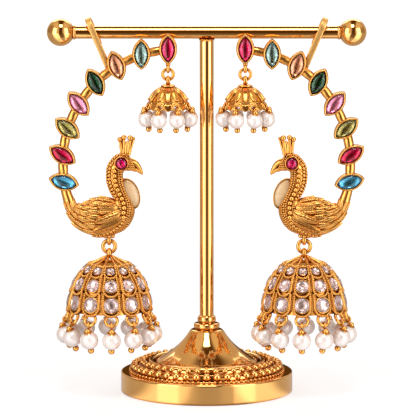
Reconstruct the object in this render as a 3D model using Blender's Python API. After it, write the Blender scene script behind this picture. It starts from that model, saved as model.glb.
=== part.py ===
"""A mirrored pair of peacock ear cuffs with jhumka bells, hung on a T-bar display stand.

Metres, +Z up, the front toward -Y. The origin is the centre of the stand's underside.
The left cuff is modelled at -X, and the right cuff is its mirror image.
"""

import math

import bmesh
import bpy
from mathutils import Matrix, Vector

MM = 0.001
GAP = 0.3 * MM  # clearance between neighbouring pieces
EMBED = 0.25 * MM  # how far soldered wires and beads sink into their neighbour

# Display stand
BASE_RADIUS = 32.7 * MM
BASE_HEIGHT = 7.9 * MM
BASE_EDGE = 0.4 * MM
LOWER_STEP_RADIUS = 29.3 * MM
LOWER_STEP_HEIGHT = 0.6 * MM
UPPER_STEP_HEIGHT = 2.0 * MM
LOWER_RING_RADIUS = 27.6 * MM
LOWER_BEAD_RADIUS = 1.45 * MM
UPPER_RING_RADIUS = 24.7 * MM
UPPER_BEAD_RADIUS = 1.15 * MM
INNER_RING_RADIUS = 21.3 * MM
INNER_RING_WIRE = 1.0 * MM
FOOT_RADIUS = 19.4 * MM
FOOT_HEIGHT = 18.3 * MM
POST_RADIUS = 2.66 * MM
TENON_RADIUS = 1.4 * MM
TENON_LENGTH = 5.0 * MM
PEARLS_ABOVE_BASE = 11.26 * MM  # clearance of the large bells' pearls above the base's flat top
BAR_RADIUS = 2.4 * MM
BAR_HALF_LENGTH = 50.5 * MM
BAR_COLLAR_RADIUS = 2.75 * MM
BAR_COLLAR_WIDTH = 0.95 * MM
BALL_RADIUS = 5.2 * MM

# Curved frame of the cuff, set with marquise stones
CUFF_Y = -4.0 * MM
ARC_RADIUS = 43.3 * MM
ARC_CENTRE_X = -11.4 * MM
ARC_TOP_BELOW_BAR = 5.8 * MM  # the arc's highest point below the crossbar's axis
ARC_START = 94.2  # degrees from +X, counter-clockwise, at the first stone
ARC_STEP = 13.64  # degrees from one stone to the next
ARC_END = 198.0  # degrees, where the peacock's tail takes over
TUBE_RADIUS = 1.9 * MM
PEG_RADIUS = 1.0 * MM
PEG_LENGTH = 3.0 * MM
BEZEL_LENGTH = 11.8 * MM
BEZEL_WIDTH = 6.9 * MM
BEZEL_DEPTH = 3.4 * MM
BEZEL_BACK_Y = -2.75 * MM
BEZEL_WALL = 0.65 * MM
BEZEL_FLOOR = 1.0 * MM
CROWN_HEIGHT = 0.9 * MM
CROWN_SLOPE = 0.95 * MM  # how far the table lies inside the girdle

# Ear hook, a flat strip that goes over the crossbar
HOOK_ANGLE = 125.8  # degrees round the arc
HOOK_LEAN = 23.1  # degrees from upright
HOOK_WIDTH = 2.3 * MM
HOOK_THICKNESS = 1.2 * MM
HOOK_RISE = 1.9 * MM  # the bend's centre above the crossbar's axis
HOOK_BACK_LEG = 7.5 * MM

# Peacock
BIRD_SIZE = 38.0 * MM  # belly to crest tips
EYE_RADIUS = 2.1 * MM
EYE_WALL = 0.45 * MM
EYE_RISE = 1.3 * MM
EYE_CUP_DEPTH = 2.6 * MM
CREST_BALL_RADIUS = 1.0 * MM
CREST_PRONG_RADIUS = 0.75 * MM
BELLY_BEAD_RADIUS = 0.8 * MM
MOONSTONE_LENGTH = 10.9 * MM
MOONSTONE_WIDTH = 6.7 * MM
MOONSTONE_DOME = 2.0 * MM
MOONSTONE_BASE = 0.6 * MM
MOONSTONE_CUP_WALL = 0.4 * MM
MOONSTONE_SET_BACK = 0.8 * MM
MOONSTONE_TILT = 21.0  # degrees, top toward the tail

# Large jhumka
LARGE_RING_RADIUS = 2.45 * MM
LARGE_RING_WIRE = 0.65 * MM
LARGE_LOOP_WIRE = 0.5 * MM
LARGE_DOME_RADIUS = 16.3 * MM
LARGE_DOME_HEIGHT = 20.7 * MM
LARGE_DOME_WALL = 1.1 * MM
LARGE_COLUMNS = 12
LARGE_TURN = 4.0  # degrees that the columns are turned about the bell's axis
SPOKE_WIDTH = 1.0 * MM
RIB_WIDTH = 1.9 * MM
LARGE_PEARL_RADIUS = 3.5 * MM
LARGE_PEARL_DROP = 9.2 * MM  # the pearls' centres below the bell's rim
LARGE_PEARL_REACH = 0.4 * MM  # the pearls' centres outside the bell's rim

# Small jhumka
SMALL_BAIL_Y = -4.5 * MM
SMALL_RING_RADIUS = 2.15 * MM
SMALL_RING_WIRE = 0.55 * MM
SMALL_LOOP_WIRE = 0.42 * MM
SMALL_DOME_RADIUS = 6.97 * MM
SMALL_DOME_HEIGHT = 6.8 * MM
SMALL_DOME_WALL = 0.75 * MM
SMALL_FLUTES = 12
BAND_STEP = 0.35 * MM
SMALL_BAND_HEIGHT = 2.9 * MM
SMALL_BAND_FLARE = 0.9 * MM
SMALL_BAND_HOLE = 0.9 * MM
HOLE_TURN = 0.3  # radians, so that no corner of a hole lies level
SMALL_COLUMNS = 8
SMALL_PEARL_RADIUS = 3.0 * MM
SMALL_PEARL_DROP = 3.8 * MM
SMALL_PEARL_REACH = 1.45 * MM

LINK_CLEARANCE = 0.35 * MM
FRINGE_WIRE = 0.42 * MM
RIM_CLEARANCE = 0.8 * MM  # between the hidden wire and the wall outside it
RIM_STEP = 0.9 * MM  # how far the fringe's hidden wire sits above the rim

# Tilt of each marquise from upright, in degrees, first stone to last
STONE_TILTS = (0.0, 0.0, 19.6, 28.7, 40.4, 51.0, 58.4, 77.0)
STONE_NAMES = ("ruby", "grey", "peach", "emerald", "pink", "olive", "red", "aqua")
STONE_COLOURS = (
    (0.62, 0.01, 0.12),
    (0.36, 0.46, 0.45),
    (0.80, 0.40, 0.22),
    (0.00, 0.10, 0.05),
    (0.80, 0.33, 0.47),
    (0.40, 0.36, 0.12),
    (0.60, 0.01, 0.12),
    (0.14, 0.42, 0.58),
)

# Peacock sections from tail to beak, as shares of BIRD_SIZE from the end of the arc:
# back x, back z, breast x, breast z, half depth
BIRD_SECTIONS = (
    (0.086, -0.061, -0.016, -0.129, 0.063),
    (0.152, -0.066, 0.044, -0.235, 0.079),
    (0.218, -0.037, 0.131, -0.319, 0.097),
    (0.292, -0.011, 0.236, -0.372, 0.111),
    (0.368, -0.006, 0.342, -0.387, 0.116),
    (0.455, -0.014, 0.552, -0.327, 0.105),
    (0.460, -0.003, 0.631, -0.251, 0.097),
    (0.457, 0.006, 0.668, -0.143, 0.089),
    (0.444, 0.030, 0.652, -0.053, 0.084),
    (0.418, 0.086, 0.594, 0.063, 0.079),
    (0.397, 0.158, 0.560, 0.155, 0.076),
    (0.392, 0.240, 0.553, 0.245, 0.076),
    (0.405, 0.318, 0.578, 0.273, 0.082),
    (0.442, 0.378, 0.621, 0.281, 0.082),
    (0.499, 0.426, 0.649, 0.278, 0.076),
    (0.573, 0.440, 0.671, 0.268, 0.063),
    (0.642, 0.418, 0.697, 0.249, 0.045),
    (0.705, 0.355, 0.726, 0.236, 0.026),
)
BEAK_TIP = (0.739, 0.229)
# Crest prongs, as shares of BIRD_SIZE: foot x, foot z, tip x, tip z, tip depth
CREST_PRONGS = (
    (0.542, 0.421, 0.513, 0.586, 0.000),
    (0.576, 0.429, 0.560, 0.605, -0.018),
    (0.610, 0.424, 0.626, 0.605, -0.008),
    (0.600, 0.424, 0.649, 0.594, 0.034),
)
EYE_PLACE = (0.536, 0.355)
MOONSTONE_PLACE = (0.613, 0.039)
BELLY_PLACE = (0.410, -0.387)

# Tiers of the large bell, as shares of its radius and height:
# top radius, top drop, bottom radius, bottom drop
BELL_TIERS = (
    (0.497, 0.118, 0.730, 0.300),
    (0.690, 0.285, 0.925, 0.625),
    (0.885, 0.605, 1.000, 1.000),
)
BELL_STONE_WIDTH = 5.8 * MM
BELL_STONE_HEIGHT = 5.6 * MM
BELL_STONE_RISE = 0.7 * MM
SCALLOP = 1.3 * MM
FLUTE_DEPTH = 0.2 * MM
# Outer profile of the small bell, as shares of its radius and height: radius, drop
SMALL_PROFILE = (
    (0.150, 0.000),
    (0.240, 0.090),
    (0.387, 0.120),
    (0.387, 0.220),
    (0.340, 0.260),
    (0.640, 0.400),
    (0.900, 0.700),
    (1.000, 1.000),
)
# Outer profile of the stand's foot, as shares of its radius and height: radius, height
FOOT_PROFILE = (
    (1.000, 0.000),
    (1.000, 0.055),
    (0.794, 0.205),
    (0.639, 0.309),
    (0.500, 0.440),
    (0.392, 0.571),
    (0.310, 0.700),
    (0.225, 0.715),
    (0.254, 0.755),
    (0.254, 0.820),
    (0.160, 0.870),
    (0.182, 0.900),
    (0.182, 0.965),
    (0.160, 1.000),
)

MARQUISE_POINTS = 8


def hanging_length():
    """From the crossbar's axis down to the lowest point of the large bells' pearls."""
    arc_end = ARC_TOP_BELOW_BAR + ARC_RADIUS - ARC_RADIUS * math.sin(math.radians(ARC_END))
    belly = arc_end - BELLY_PLACE[1] * BIRD_SIZE
    link = (LARGE_RING_RADIUS + LARGE_RING_WIRE + LARGE_LOOP_WIRE + LINK_CLEARANCE) * 2
    rim = belly + link - EMBED + LARGE_DOME_HEIGHT
    return rim + LARGE_PEARL_DROP + LARGE_PEARL_RADIUS


BAR_HEIGHT = BASE_HEIGHT + PEARLS_ABOVE_BASE + hanging_length()
ARC_CENTRE = Vector((ARC_CENTRE_X, CUFF_Y, BAR_HEIGHT - ARC_TOP_BELOW_BAR - ARC_RADIUS))


def loft(rings, closed=False):
    """One closed skin through rings of points, which may differ in count.

    A ring of one point is a tip. Faces run ring by ring, in the order of the larger ring.
    """
    points = []
    starts = []
    for ring in rings:
        starts.append(len(points))
        points.extend(ring)
    pairs = [(k, k + 1) for k in range(len(rings) - 1)]
    if closed:
        pairs.append((len(rings) - 1, 0))
    faces = []
    for low, high in pairs:
        low_count = len(rings[low])
        high_count = len(rings[high])
        count = max(low_count, high_count)
        for i in range(count):
            j = (i + 1) % count
            corners = (
                starts[low] + i * low_count // count,
                starts[low] + j * low_count // count,
                starts[high] + j * high_count // count,
                starts[high] + i * high_count // count,
            )
            faces.append(list(dict.fromkeys(corners)))
    if not closed:
        for k in (0, len(rings) - 1):
            if len(rings[k]) > 2:
                faces.append(list(range(starts[k], starts[k] + len(rings[k]))))
    return points, faces


def ellipse(centre, across, along, count, turn=0.0):
    """Points round an ellipse whose half axes are the vectors across and along."""
    angles = [turn + math.tau * k / count for k in range(count)]
    return [centre + across * math.cos(a) + along * math.sin(a) for a in angles]


def lathe(profile, count, centre=Vector(), axis="Z", closed=False, turn=0.0):
    """A turned solid from (radius, distance along the axis) pairs."""
    along = Vector((0, 0, 1)) if axis == "Z" else Vector((1, 0, 0))
    side = Vector((1, 0, 0)) if axis == "Z" else Vector((0, 1, 0))
    other = along.cross(side)
    rings = []
    for radius, distance in profile:
        middle = centre + along * distance
        if radius > 0:
            rings.append(ellipse(middle, side * radius, other * radius, count, turn))
        else:
            rings.append([middle])
    return loft(rings, closed)


def ball(centre, radius, sides, bands):
    """A round bead, with its poles up and down."""
    profile = []
    for k in range(bands + 1):
        angle = math.pi * k / bands
        profile.append((radius * math.sin(angle), radius * math.cos(angle)))
    profile[0] = (0.0, radius)
    profile[-1] = (0.0, -radius)
    return lathe(profile, sides, centre)


def wire(path, normal, radius, sides, closed=False, breadth=None):
    """A wire along a path that lies in the plane of the given normal."""
    breadth = radius if breadth is None else breadth
    rings = []
    last = len(path) - 1
    for k, point in enumerate(path):
        before = path[k - 1] if closed or k > 0 else point
        after = path[(k + 1) % len(path)] if closed or k < last else point
        tangent = (after - before).normalized()
        side = tangent.cross(normal).normalized()
        rings.append(ellipse(point, side * radius, normal * breadth, sides))
    return loft(rings, closed)


def torus(centre, normal, radius, wire_radius, count, sides, breadth=None):
    """A ring of wire round the given normal."""
    across = normal.orthogonal().normalized()
    path = ellipse(centre, across * radius, normal.cross(across) * radius, count)
    return wire(path, normal, wire_radius, sides, True, breadth)


def scratch_object(name, shells):
    """A temporary object that holds the given closed skins, all facing out."""
    work = bmesh.new()
    for points, faces in shells:
        corners = [work.verts.new(point) for point in points]
        for face in faces:
            work.faces.new([corners[i] for i in face])
    bmesh.ops.recalc_face_normals(work, faces=work.faces)
    mesh = bpy.data.meshes.new(name)
    work.to_mesh(mesh)
    work.free()
    thing = bpy.data.objects.new(name, mesh)
    bpy.context.scene.collection.objects.link(thing)
    return thing


def fused(name, shells, cutters=()):
    """One mesh: the skins joined into one solid, less the cutters."""
    body = scratch_object(name, shells[:1])
    helpers = []
    for operation, group in (("UNION", shells[1:]), ("DIFFERENCE", cutters)):
        if group:
            helper = scratch_object(name + "_helper", group)
            modifier = body.modifiers.new(operation, "BOOLEAN")
            modifier.operation = operation
            modifier.use_self = True
            modifier.object = helper
            helpers.append(helper)
    bpy.context.view_layer.update()
    evaluated = body.evaluated_get(bpy.context.evaluated_depsgraph_get())
    mesh = bpy.data.meshes.new_from_object(evaluated)
    for thing in [body, *helpers]:
        bpy.data.objects.remove(thing)
    return mesh


def material(name, colour, metallic, roughness):
    """A Principled material, made once for each name."""
    made = bpy.data.materials.get(name)
    if made is None:
        made = bpy.data.materials.new(name)
        made.use_nodes = True
        shader = made.node_tree.nodes["Principled BSDF"]
        shader.inputs["Base Color"].default_value = (*colour, 1.0)
        shader.inputs["Metallic"].default_value = metallic
        shader.inputs["Roughness"].default_value = roughness
    return made


def stand_gold():
    return material("polished_gold", (0.95, 0.62, 0.22), 1.0, 0.12)


def antique_gold():
    return material("antique_gold", (0.86, 0.52, 0.16), 1.0, 0.28)


def pearl_white():
    return material("pearl", (0.93, 0.88, 0.85), 0.0, 0.25)


def place(name, mesh, origin, finish):
    """A named object with its origin at the given point."""
    mesh.name = name
    mesh.transform(Matrix.Translation(-origin))
    mesh.materials.clear()
    mesh.materials.append(finish)
    mesh.shade_smooth()
    mesh.set_sharp_from_angle(angle=math.radians(35))
    thing = bpy.data.objects.new(name, mesh)
    thing.location = origin
    bpy.context.scene.collection.objects.link(thing)
    return thing


def place_pair(name, mesh, origin, finish):
    """The left piece at -X and its mirror image at +X."""
    twin = mesh.copy()
    twin.transform(Matrix.Scale(-1, 4, Vector((1, 0, 0))))
    twin.flip_normals()
    place("left_" + name, mesh, origin, finish)
    place("right_" + name, twin, Vector((-origin.x, origin.y, origin.z)), finish)


def stand_levels():
    """Heights of the base's top, its two steps and the foot's underside."""
    lower = BASE_HEIGHT + LOWER_STEP_HEIGHT
    upper = lower + UPPER_STEP_HEIGHT
    return BASE_HEIGHT, lower, upper, upper + GAP


def stand_base_disc():
    top, lower, upper, _ = stand_levels()
    upper_radius = LOWER_RING_RADIUS - LOWER_BEAD_RADIUS - GAP
    profile = (
        (BASE_RADIUS, 0.0),
        (BASE_RADIUS, top - BASE_EDGE),
        (BASE_RADIUS - BASE_EDGE, top),
        (LOWER_STEP_RADIUS, top),
        (LOWER_STEP_RADIUS, lower),
        (upper_radius, lower),
        (upper_radius, upper),
    )
    mesh = fused("stand_base_disc", [lathe(profile, 32)])
    place("stand_base_disc", mesh, Vector(), stand_gold())


def stand_rings():
    _, lower, upper, _ = stand_levels()
    rings = (
        ("stand_lower_bead_ring", LOWER_RING_RADIUS, LOWER_BEAD_RADIUS, lower),
        ("stand_upper_bead_ring", UPPER_RING_RADIUS, UPPER_BEAD_RADIUS, upper),
        ("stand_inner_ring", INNER_RING_RADIUS, INNER_RING_WIRE, upper),
    )
    for name, radius, wire_radius, floor in rings:
        centre = Vector((0, 0, floor + GAP + wire_radius))
        shell = torus(centre, Vector((0, 0, 1)), radius, wire_radius, 20, 5)
        place(name, fused(name, [shell]), Vector(), stand_gold())


def stand_foot():
    _, _, _, floor = stand_levels()
    profile = [(r * FOOT_RADIUS, floor + h * FOOT_HEIGHT) for r, h in FOOT_PROFILE]
    bore = TENON_RADIUS + GAP
    top = floor + FOOT_HEIGHT
    profile.append((bore, top))
    profile.append((bore, top - TENON_LENGTH - GAP))
    mesh = fused("stand_foot", [lathe(profile, 16)])
    place("stand_foot", mesh, Vector(), stand_gold())
    return top


def stand_post(foot_top):
    shoulder = BAR_HEIGHT - BAR_RADIUS - GAP
    profile = (
        (TENON_RADIUS, foot_top - TENON_LENGTH),
        (TENON_RADIUS, foot_top + GAP),
        (POST_RADIUS, foot_top + GAP),
        (POST_RADIUS, shoulder),
        (TENON_RADIUS, shoulder),
        (TENON_RADIUS, BAR_HEIGHT),
    )
    mesh = fused("stand_post", [lathe(profile, 14)])
    place("stand_post", mesh, Vector(), stand_gold())


def stand_crossbar():
    middle = Vector((0, 0, BAR_HEIGHT))
    inner = BAR_HALF_LENGTH - BAR_COLLAR_WIDTH
    half = (
        (BAR_RADIUS, inner),
        (BAR_COLLAR_RADIUS, inner),
        (BAR_COLLAR_RADIUS, BAR_HALF_LENGTH),
        (TENON_RADIUS, BAR_HALF_LENGTH),
        (TENON_RADIUS, BAR_HALF_LENGTH + BALL_RADIUS / 2),
    )
    profile = [(r, -x) for r, x in reversed(half)] + list(half)
    bore = TENON_RADIUS + GAP
    cutter = lathe(((bore, -BAR_RADIUS * 1.5), (bore, GAP)), 10, middle)
    mesh = fused("stand_crossbar", [lathe(profile, 14, middle, "X")], [cutter])
    place("stand_crossbar", mesh, middle, stand_gold())


def stand_end_balls():
    """Balls on the crossbar's ends, each with a flat seat against the collar."""
    seat = BAR_HALF_LENGTH + GAP
    seat_radius = BAR_COLLAR_RADIUS
    bore = TENON_RADIUS + GAP
    start = math.asin(seat_radius / BALL_RADIUS)
    centre = seat + BALL_RADIUS * math.cos(start)
    profile = [(bore, seat + BALL_RADIUS / 2), (bore, seat)]
    steps = 6
    for k in range(steps):
        angle = start + (math.pi - start) * k / steps
        profile.append((BALL_RADIUS * math.sin(angle), centre - BALL_RADIUS * math.cos(angle)))
    profile.append((0.0, centre + BALL_RADIUS))
    middle = Vector((0, 0, BAR_HEIGHT))
    shell = lathe([(r, -x) for r, x in profile], 12, middle, "X")
    origin = Vector((-centre, 0, BAR_HEIGHT))
    place_pair("end_ball", fused("end_ball", [shell]), origin, stand_gold())


def arc_point(angle, radius=ARC_RADIUS):
    """A point in the cuff's plane at an angle in degrees round the arc."""
    turn = math.radians(angle)
    return ARC_CENTRE + Vector((math.cos(turn), 0, math.sin(turn))) * radius


def stone_frame(index):
    """Centre, long direction and short direction of one marquise in the XZ plane."""
    centre = arc_point(ARC_START + ARC_STEP * index)
    tilt = math.radians(STONE_TILTS[index])
    along = Vector((-math.sin(tilt), 0, math.cos(tilt)))
    across = Vector((math.cos(tilt), 0, math.sin(tilt)))
    return centre, along, across


def marquise(index, inset, depth):
    """The pointed oval of one bezel, brought in by inset, at a depth in front of its back."""
    centre, along, across = stone_frame(index)
    half_length = BEZEL_LENGTH / 2
    half_width = BEZEL_WIDTH / 2
    arc = (half_length**2 + half_width**2) / (2 * half_width)
    offset = arc - half_width
    radius = arc - inset
    reach = math.acos(offset / radius)
    flat = Vector((centre.x, BEZEL_BACK_Y - depth, centre.z))
    points = []
    side_points = MARQUISE_POINTS // 2
    for side in (1, -1):
        for k in range(side_points):
            angle = side * (reach - 2 * reach * k / side_points)
            x = side * (radius * math.cos(angle) - offset)
            z = radius * math.sin(angle)
            points.append(flat + across * x + along * z)
    return points


def bezel(index):
    """The solid body of one setting, whose pocket is cut afterwards."""
    return loft((marquise(index, 0.0, 0.0), marquise(index, 0.0, BEZEL_DEPTH)))


def bezel_pocket(index):
    rings = (
        marquise(index, BEZEL_WALL, BEZEL_FLOOR),
        marquise(index, BEZEL_WALL, BEZEL_DEPTH + BEZEL_FLOOR),
    )
    return loft(rings)


def hook_strip():
    """The strip rises in front of the crossbar, bends over it and closes in behind it."""
    lean = math.radians(HOOK_LEAN)
    up = Vector((-math.sin(lean), 0, math.cos(lean)))
    across = Vector((math.cos(lean), 0, math.sin(lean)))
    foot = arc_point(HOOK_ANGLE)
    foot.y = 0.0
    bend = BAR_RADIUS + GAP + HOOK_THICKNESS / 2
    centre_rise = (BAR_HEIGHT + HOOK_RISE - foot.z) / up.z
    route = [(0.0, -bend), (centre_rise * 0.5, -bend)]
    for k in range(9):
        angle = math.pi * k / 8
        route.append((centre_rise + bend * math.sin(angle), -bend * math.cos(angle)))
    route.append((centre_rise - HOOK_BACK_LEG * 0.7, bend))
    route.append((centre_rise - HOOK_BACK_LEG, bend - HOOK_THICKNESS / 2))
    rings = []
    for k, (rise, depth) in enumerate(route):
        before = route[max(k - 1, 0)]
        after = route[min(k + 1, len(route) - 1)]
        tangent = Vector((after[0] - before[0], after[1] - before[1])).normalized()
        middle = foot + up * rise + Vector((0, depth, 0))
        out = (up * -tangent.y + Vector((0, tangent.x, 0))) * HOOK_THICKNESS / 2
        side = across * HOOK_WIDTH / 2
        corners = (out + side, out - side, -out - side, side - out)
        rings.append([middle + corner for corner in corners])
    return loft(rings)


def link_reach(ring_wire, loop_wire):
    """Distance between two linked wires' centres when they hang clear of each other."""
    return ring_wire + loop_wire + LINK_CLEARANCE


def small_ring_centre():
    first = arc_point(ARC_START)
    reach = link_reach(SMALL_RING_WIRE, SMALL_LOOP_WIRE)
    top = first.z - BEZEL_LENGTH / 2
    drop = SMALL_RING_RADIUS + reach + SMALL_LOOP_WIRE - EMBED
    return Vector((first.x, SMALL_BAIL_Y, top - drop))


def large_ring_centre():
    belly = bird_point(BELLY_PLACE)
    reach = link_reach(LARGE_RING_WIRE, LARGE_LOOP_WIRE)
    return belly - Vector((0, 0, LARGE_RING_RADIUS + reach))


def bail(ring_centre, ring_radius, ring_wire, loop_wire, rise):
    """The loop that a jump ring hangs from, seen edge on, and its stem."""
    reach = link_reach(ring_wire, loop_wire)
    centre = ring_centre + Vector((0, 0, ring_radius))
    loop_top = centre.z + reach
    stem_radius = loop_wire * 2
    stem = ((stem_radius * 0.8, loop_top - loop_wire / 2), (stem_radius, loop_top + rise))
    axis = Vector((ring_centre.x, ring_centre.y, 0))
    loop = torus(centre, Vector((1, 0, 0)), reach, loop_wire, 10, 5, loop_wire * 1.3)
    return [loop, lathe(stem, 7, axis)]


def tail_sweep():
    """Degrees of arc from the last stone to the tail."""
    return ARC_END - ARC_START - ARC_STEP * (len(STONE_TILTS) - 1)


def cuff_frame():
    """Tube links, eight settings, ear hook and top bail, soldered into one solid."""
    front = Vector((0, 1, 0))
    last = len(STONE_TILTS) - 1
    tail_path = [arc_point(ARC_START + ARC_STEP * last + k * tail_sweep() / 3) for k in range(4)]
    end = arc_point(ARC_END)
    tangent = tail_direction()
    peg_path = [end - tangent * PEG_LENGTH, end + tangent * PEG_LENGTH]
    shells = [
        wire(tail_path, front, TUBE_RADIUS, 8),
        wire(peg_path, front, PEG_RADIUS, 6),
        hook_strip(),
    ]
    rise = BEZEL_WALL * 3
    ring = small_ring_centre()
    shells += bail(ring, SMALL_RING_RADIUS, SMALL_RING_WIRE, SMALL_LOOP_WIRE, rise)
    for index in range(last):
        span = [stone_frame(index)[0], stone_frame(index + 1)[0]]
        shells.append(wire(span, front, TUBE_RADIUS, 8))
    shells += [bezel(index) for index in range(len(STONE_TILTS))]
    pockets = [bezel_pocket(index) for index in range(len(STONE_TILTS))]
    mesh = fused("cuff_frame", shells, pockets)
    place_pair("cuff_frame", mesh, ARC_CENTRE.copy(), antique_gold())


def marquise_stones():
    """Pointed ovals with a point behind, a girdle and a flat table in front."""
    girdle = BEZEL_WALL + GAP
    low = BEZEL_FLOOR + GAP
    for index, name in enumerate(STONE_NAMES):
        centre, _, _ = stone_frame(index)
        point = Vector((centre.x, BEZEL_BACK_Y - low, centre.z))
        high = BEZEL_DEPTH + CROWN_HEIGHT / 2
        rings = (
            [point],
            marquise(index, girdle, high - CROWN_HEIGHT),
            marquise(index, girdle + CROWN_SLOPE, high),
        )
        finish = material(name + "_glass", STONE_COLOURS[index], 0.0, 0.05)
        label = "stone_%d_%s" % (index + 1, name)
        place_pair(label, fused(label, [loft(rings)]), centre, finish)


def tail_direction():
    """The arc's direction where it runs into the tail."""
    turn = math.radians(ARC_END)
    return Vector((-math.sin(turn), 0, math.cos(turn)))


def bird_point(place_xz, depth=0.0):
    """A point given as shares of the bird's size from the end of the arc."""
    end = arc_point(ARC_END)
    return end + Vector((place_xz[0], depth, place_xz[1])) * BIRD_SIZE


def bird_body():
    turn = math.radians(ARC_END)
    radial = Vector((math.cos(turn), 0, math.sin(turn)))
    start = arc_point(ARC_END) + tail_direction() * GAP
    tail_radius = TUBE_RADIUS + EMBED
    depth_axis = Vector((0, 1, 0))
    rings = [ellipse(start, -radial * tail_radius, depth_axis * tail_radius, 10)]
    for back_x, back_z, front_x, front_z, depth in BIRD_SECTIONS:
        back = bird_point((back_x, back_z))
        breast = bird_point((front_x, front_z))
        half = (back - breast) / 2
        rings.append(ellipse((back + breast) / 2, half, depth_axis * depth * BIRD_SIZE, 10))
    rings.append([bird_point(BEAK_TIP)])
    return loft(rings)


def crest():
    shells = []
    for foot_x, foot_z, tip_x, tip_z, tip_y in CREST_PRONGS:
        foot = bird_point((foot_x, foot_z))
        tip = bird_point((tip_x, tip_z), tip_y)
        run = (tip - foot).normalized()
        side = run.cross(Vector((0, 1, 0))).normalized()
        other = run.cross(side)
        wide = CREST_PRONG_RADIUS
        reach = CREST_BALL_RADIUS
        rings = [ellipse(foot, side * wide, other * wide, 6)]
        for along, radius in ((-0.8, wide * 0.6), (-0.45, reach * 0.9), (0.45, reach * 0.9)):
            rings.append(ellipse(tip + run * along * reach, side * radius, other * radius, 6))
        rings.append([tip + run * reach])
        shells.append(loft(rings))
    return shells


def eye_disc(radius, back, front, dome=0.0):
    """A round boss on the near side of the head, flat or with a domed front."""
    centre = bird_point(EYE_PLACE)
    across = Vector((1, 0, 0))
    up = Vector((0, 0, 1))
    rings = []
    for depth in (back, front):
        middle = centre - Vector((0, depth, 0))
        rings.append(ellipse(middle, across * radius, up * radius, 10))
    if dome > 0:
        middle = centre - Vector((0, front + dome * 0.7, 0))
        rings.append(ellipse(middle, across * radius * 0.7, up * radius * 0.7, 10))
        rings.append([centre - Vector((0, front + dome, 0))])
    return loft(rings)


def eye_levels():
    """Depths in front of the bird's mid-plane: cup floor, cup rim."""
    head_depth = BIRD_SECTIONS[-5][4] * BIRD_SIZE
    rim = head_depth + EYE_CUP_DEPTH / 4
    return rim - EYE_CUP_DEPTH / 2, rim


def moonstone_oval(margin, set_forward, scale=1.0):
    """One oval across the moonstone, at a distance in front of its back."""
    centre = bird_point(MOONSTONE_PLACE)
    tilt = math.radians(MOONSTONE_TILT)
    along = Vector((-math.sin(tilt), 0, math.cos(tilt)))
    across = Vector((math.cos(tilt), 0, math.sin(tilt)))
    half_length = MOONSTONE_LENGTH / 2 * scale + margin
    half_width = MOONSTONE_WIDTH / 2 * scale + margin
    middle = centre + Vector((0, MOONSTONE_SET_BACK - set_forward, 0))
    return ellipse(middle, across * half_width, along * half_length, 12)


def moonstone_body(margin):
    """The domed stone, or with a margin the space that it needs."""
    top = MOONSTONE_BASE + MOONSTONE_DOME
    rings = [
        moonstone_oval(margin, -margin),
        moonstone_oval(margin, MOONSTONE_BASE),
        moonstone_oval(margin, MOONSTONE_BASE + MOONSTONE_DOME * 0.75 + margin, 0.66),
        [bird_point(MOONSTONE_PLACE) + Vector((0, MOONSTONE_SET_BACK - top - margin, 0))],
    ]
    return loft(rings)


def moonstone_cup():
    edge = GAP + MOONSTONE_CUP_WALL
    rings = (
        moonstone_oval(edge * 0.6, -edge),
        moonstone_oval(edge, -GAP),
        moonstone_oval(edge, MOONSTONE_BASE + GAP),
    )
    return loft(rings)


def peacock():
    """Body, neck, head, beak, crest, cups and bail, cast as one solid."""
    belly = bird_point(BELLY_PLACE)
    ring = large_ring_centre()
    floor, rim = eye_levels()
    eye_outer = EYE_RADIUS + GAP + EYE_WALL
    shells = [bird_body(), *crest()]
    shells.append(eye_disc(eye_outer, 0.0, rim))
    shells.append(moonstone_cup())
    rise = BELLY_BEAD_RADIUS * 2
    shells += bail(ring, LARGE_RING_RADIUS, LARGE_RING_WIRE, LARGE_LOOP_WIRE, rise)
    for side in (-1, 1):
        bead = belly + Vector((side * BELLY_BEAD_RADIUS * 1.9, 0, BELLY_BEAD_RADIUS * 0.75))
        shells.append(ball(bead, BELLY_BEAD_RADIUS, 7, 4))
    end = arc_point(ARC_END)
    depth_axis = Vector((0, 1, 0))
    socket_path = [end - tail_direction() * GAP, end + tail_direction() * (PEG_LENGTH + GAP)]
    cutters = [
        wire(socket_path, depth_axis, PEG_RADIUS + GAP, 6),
        eye_disc(EYE_RADIUS + GAP, floor, rim + EYE_CUP_DEPTH),
        moonstone_body(GAP),
    ]
    place_pair("peacock", fused("peacock", shells, cutters), belly, antique_gold())


def eye_stone():
    floor, rim = eye_levels()
    shell = eye_disc(EYE_RADIUS, floor + GAP, rim, EYE_RISE)
    finish = material("ruby_cabochon", (0.60, 0.01, 0.12), 0.0, 0.05)
    place_pair("eye_stone", fused("eye_stone", [shell]), bird_point(EYE_PLACE), finish)


def moonstone():
    finish = material("moonstone", (0.86, 0.72, 0.52), 0.0, 0.12)
    mesh = fused("moonstone", [moonstone_body(0.0)])
    place_pair("moonstone", mesh, bird_point(MOONSTONE_PLACE), finish)


def jump_rings():
    """Rings in the cuff's plane that pass through the bail and the bell's loop."""
    rings = (
        ("large_jump_ring", large_ring_centre(), LARGE_RING_RADIUS, LARGE_RING_WIRE, LARGE_LOOP_WIRE),
        ("small_jump_ring", small_ring_centre(), SMALL_RING_RADIUS, SMALL_RING_WIRE, SMALL_LOOP_WIRE),
    )
    for name, centre, radius, ring_wire, loop_wire in rings:
        shell = torus(centre, Vector((0, 1, 0)), radius, ring_wire, 12, 5)
        pivot = centre + Vector((0, 0, radius - link_reach(ring_wire, loop_wire)))
        place_pair(name, fused(name, [shell]), pivot, antique_gold())


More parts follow.
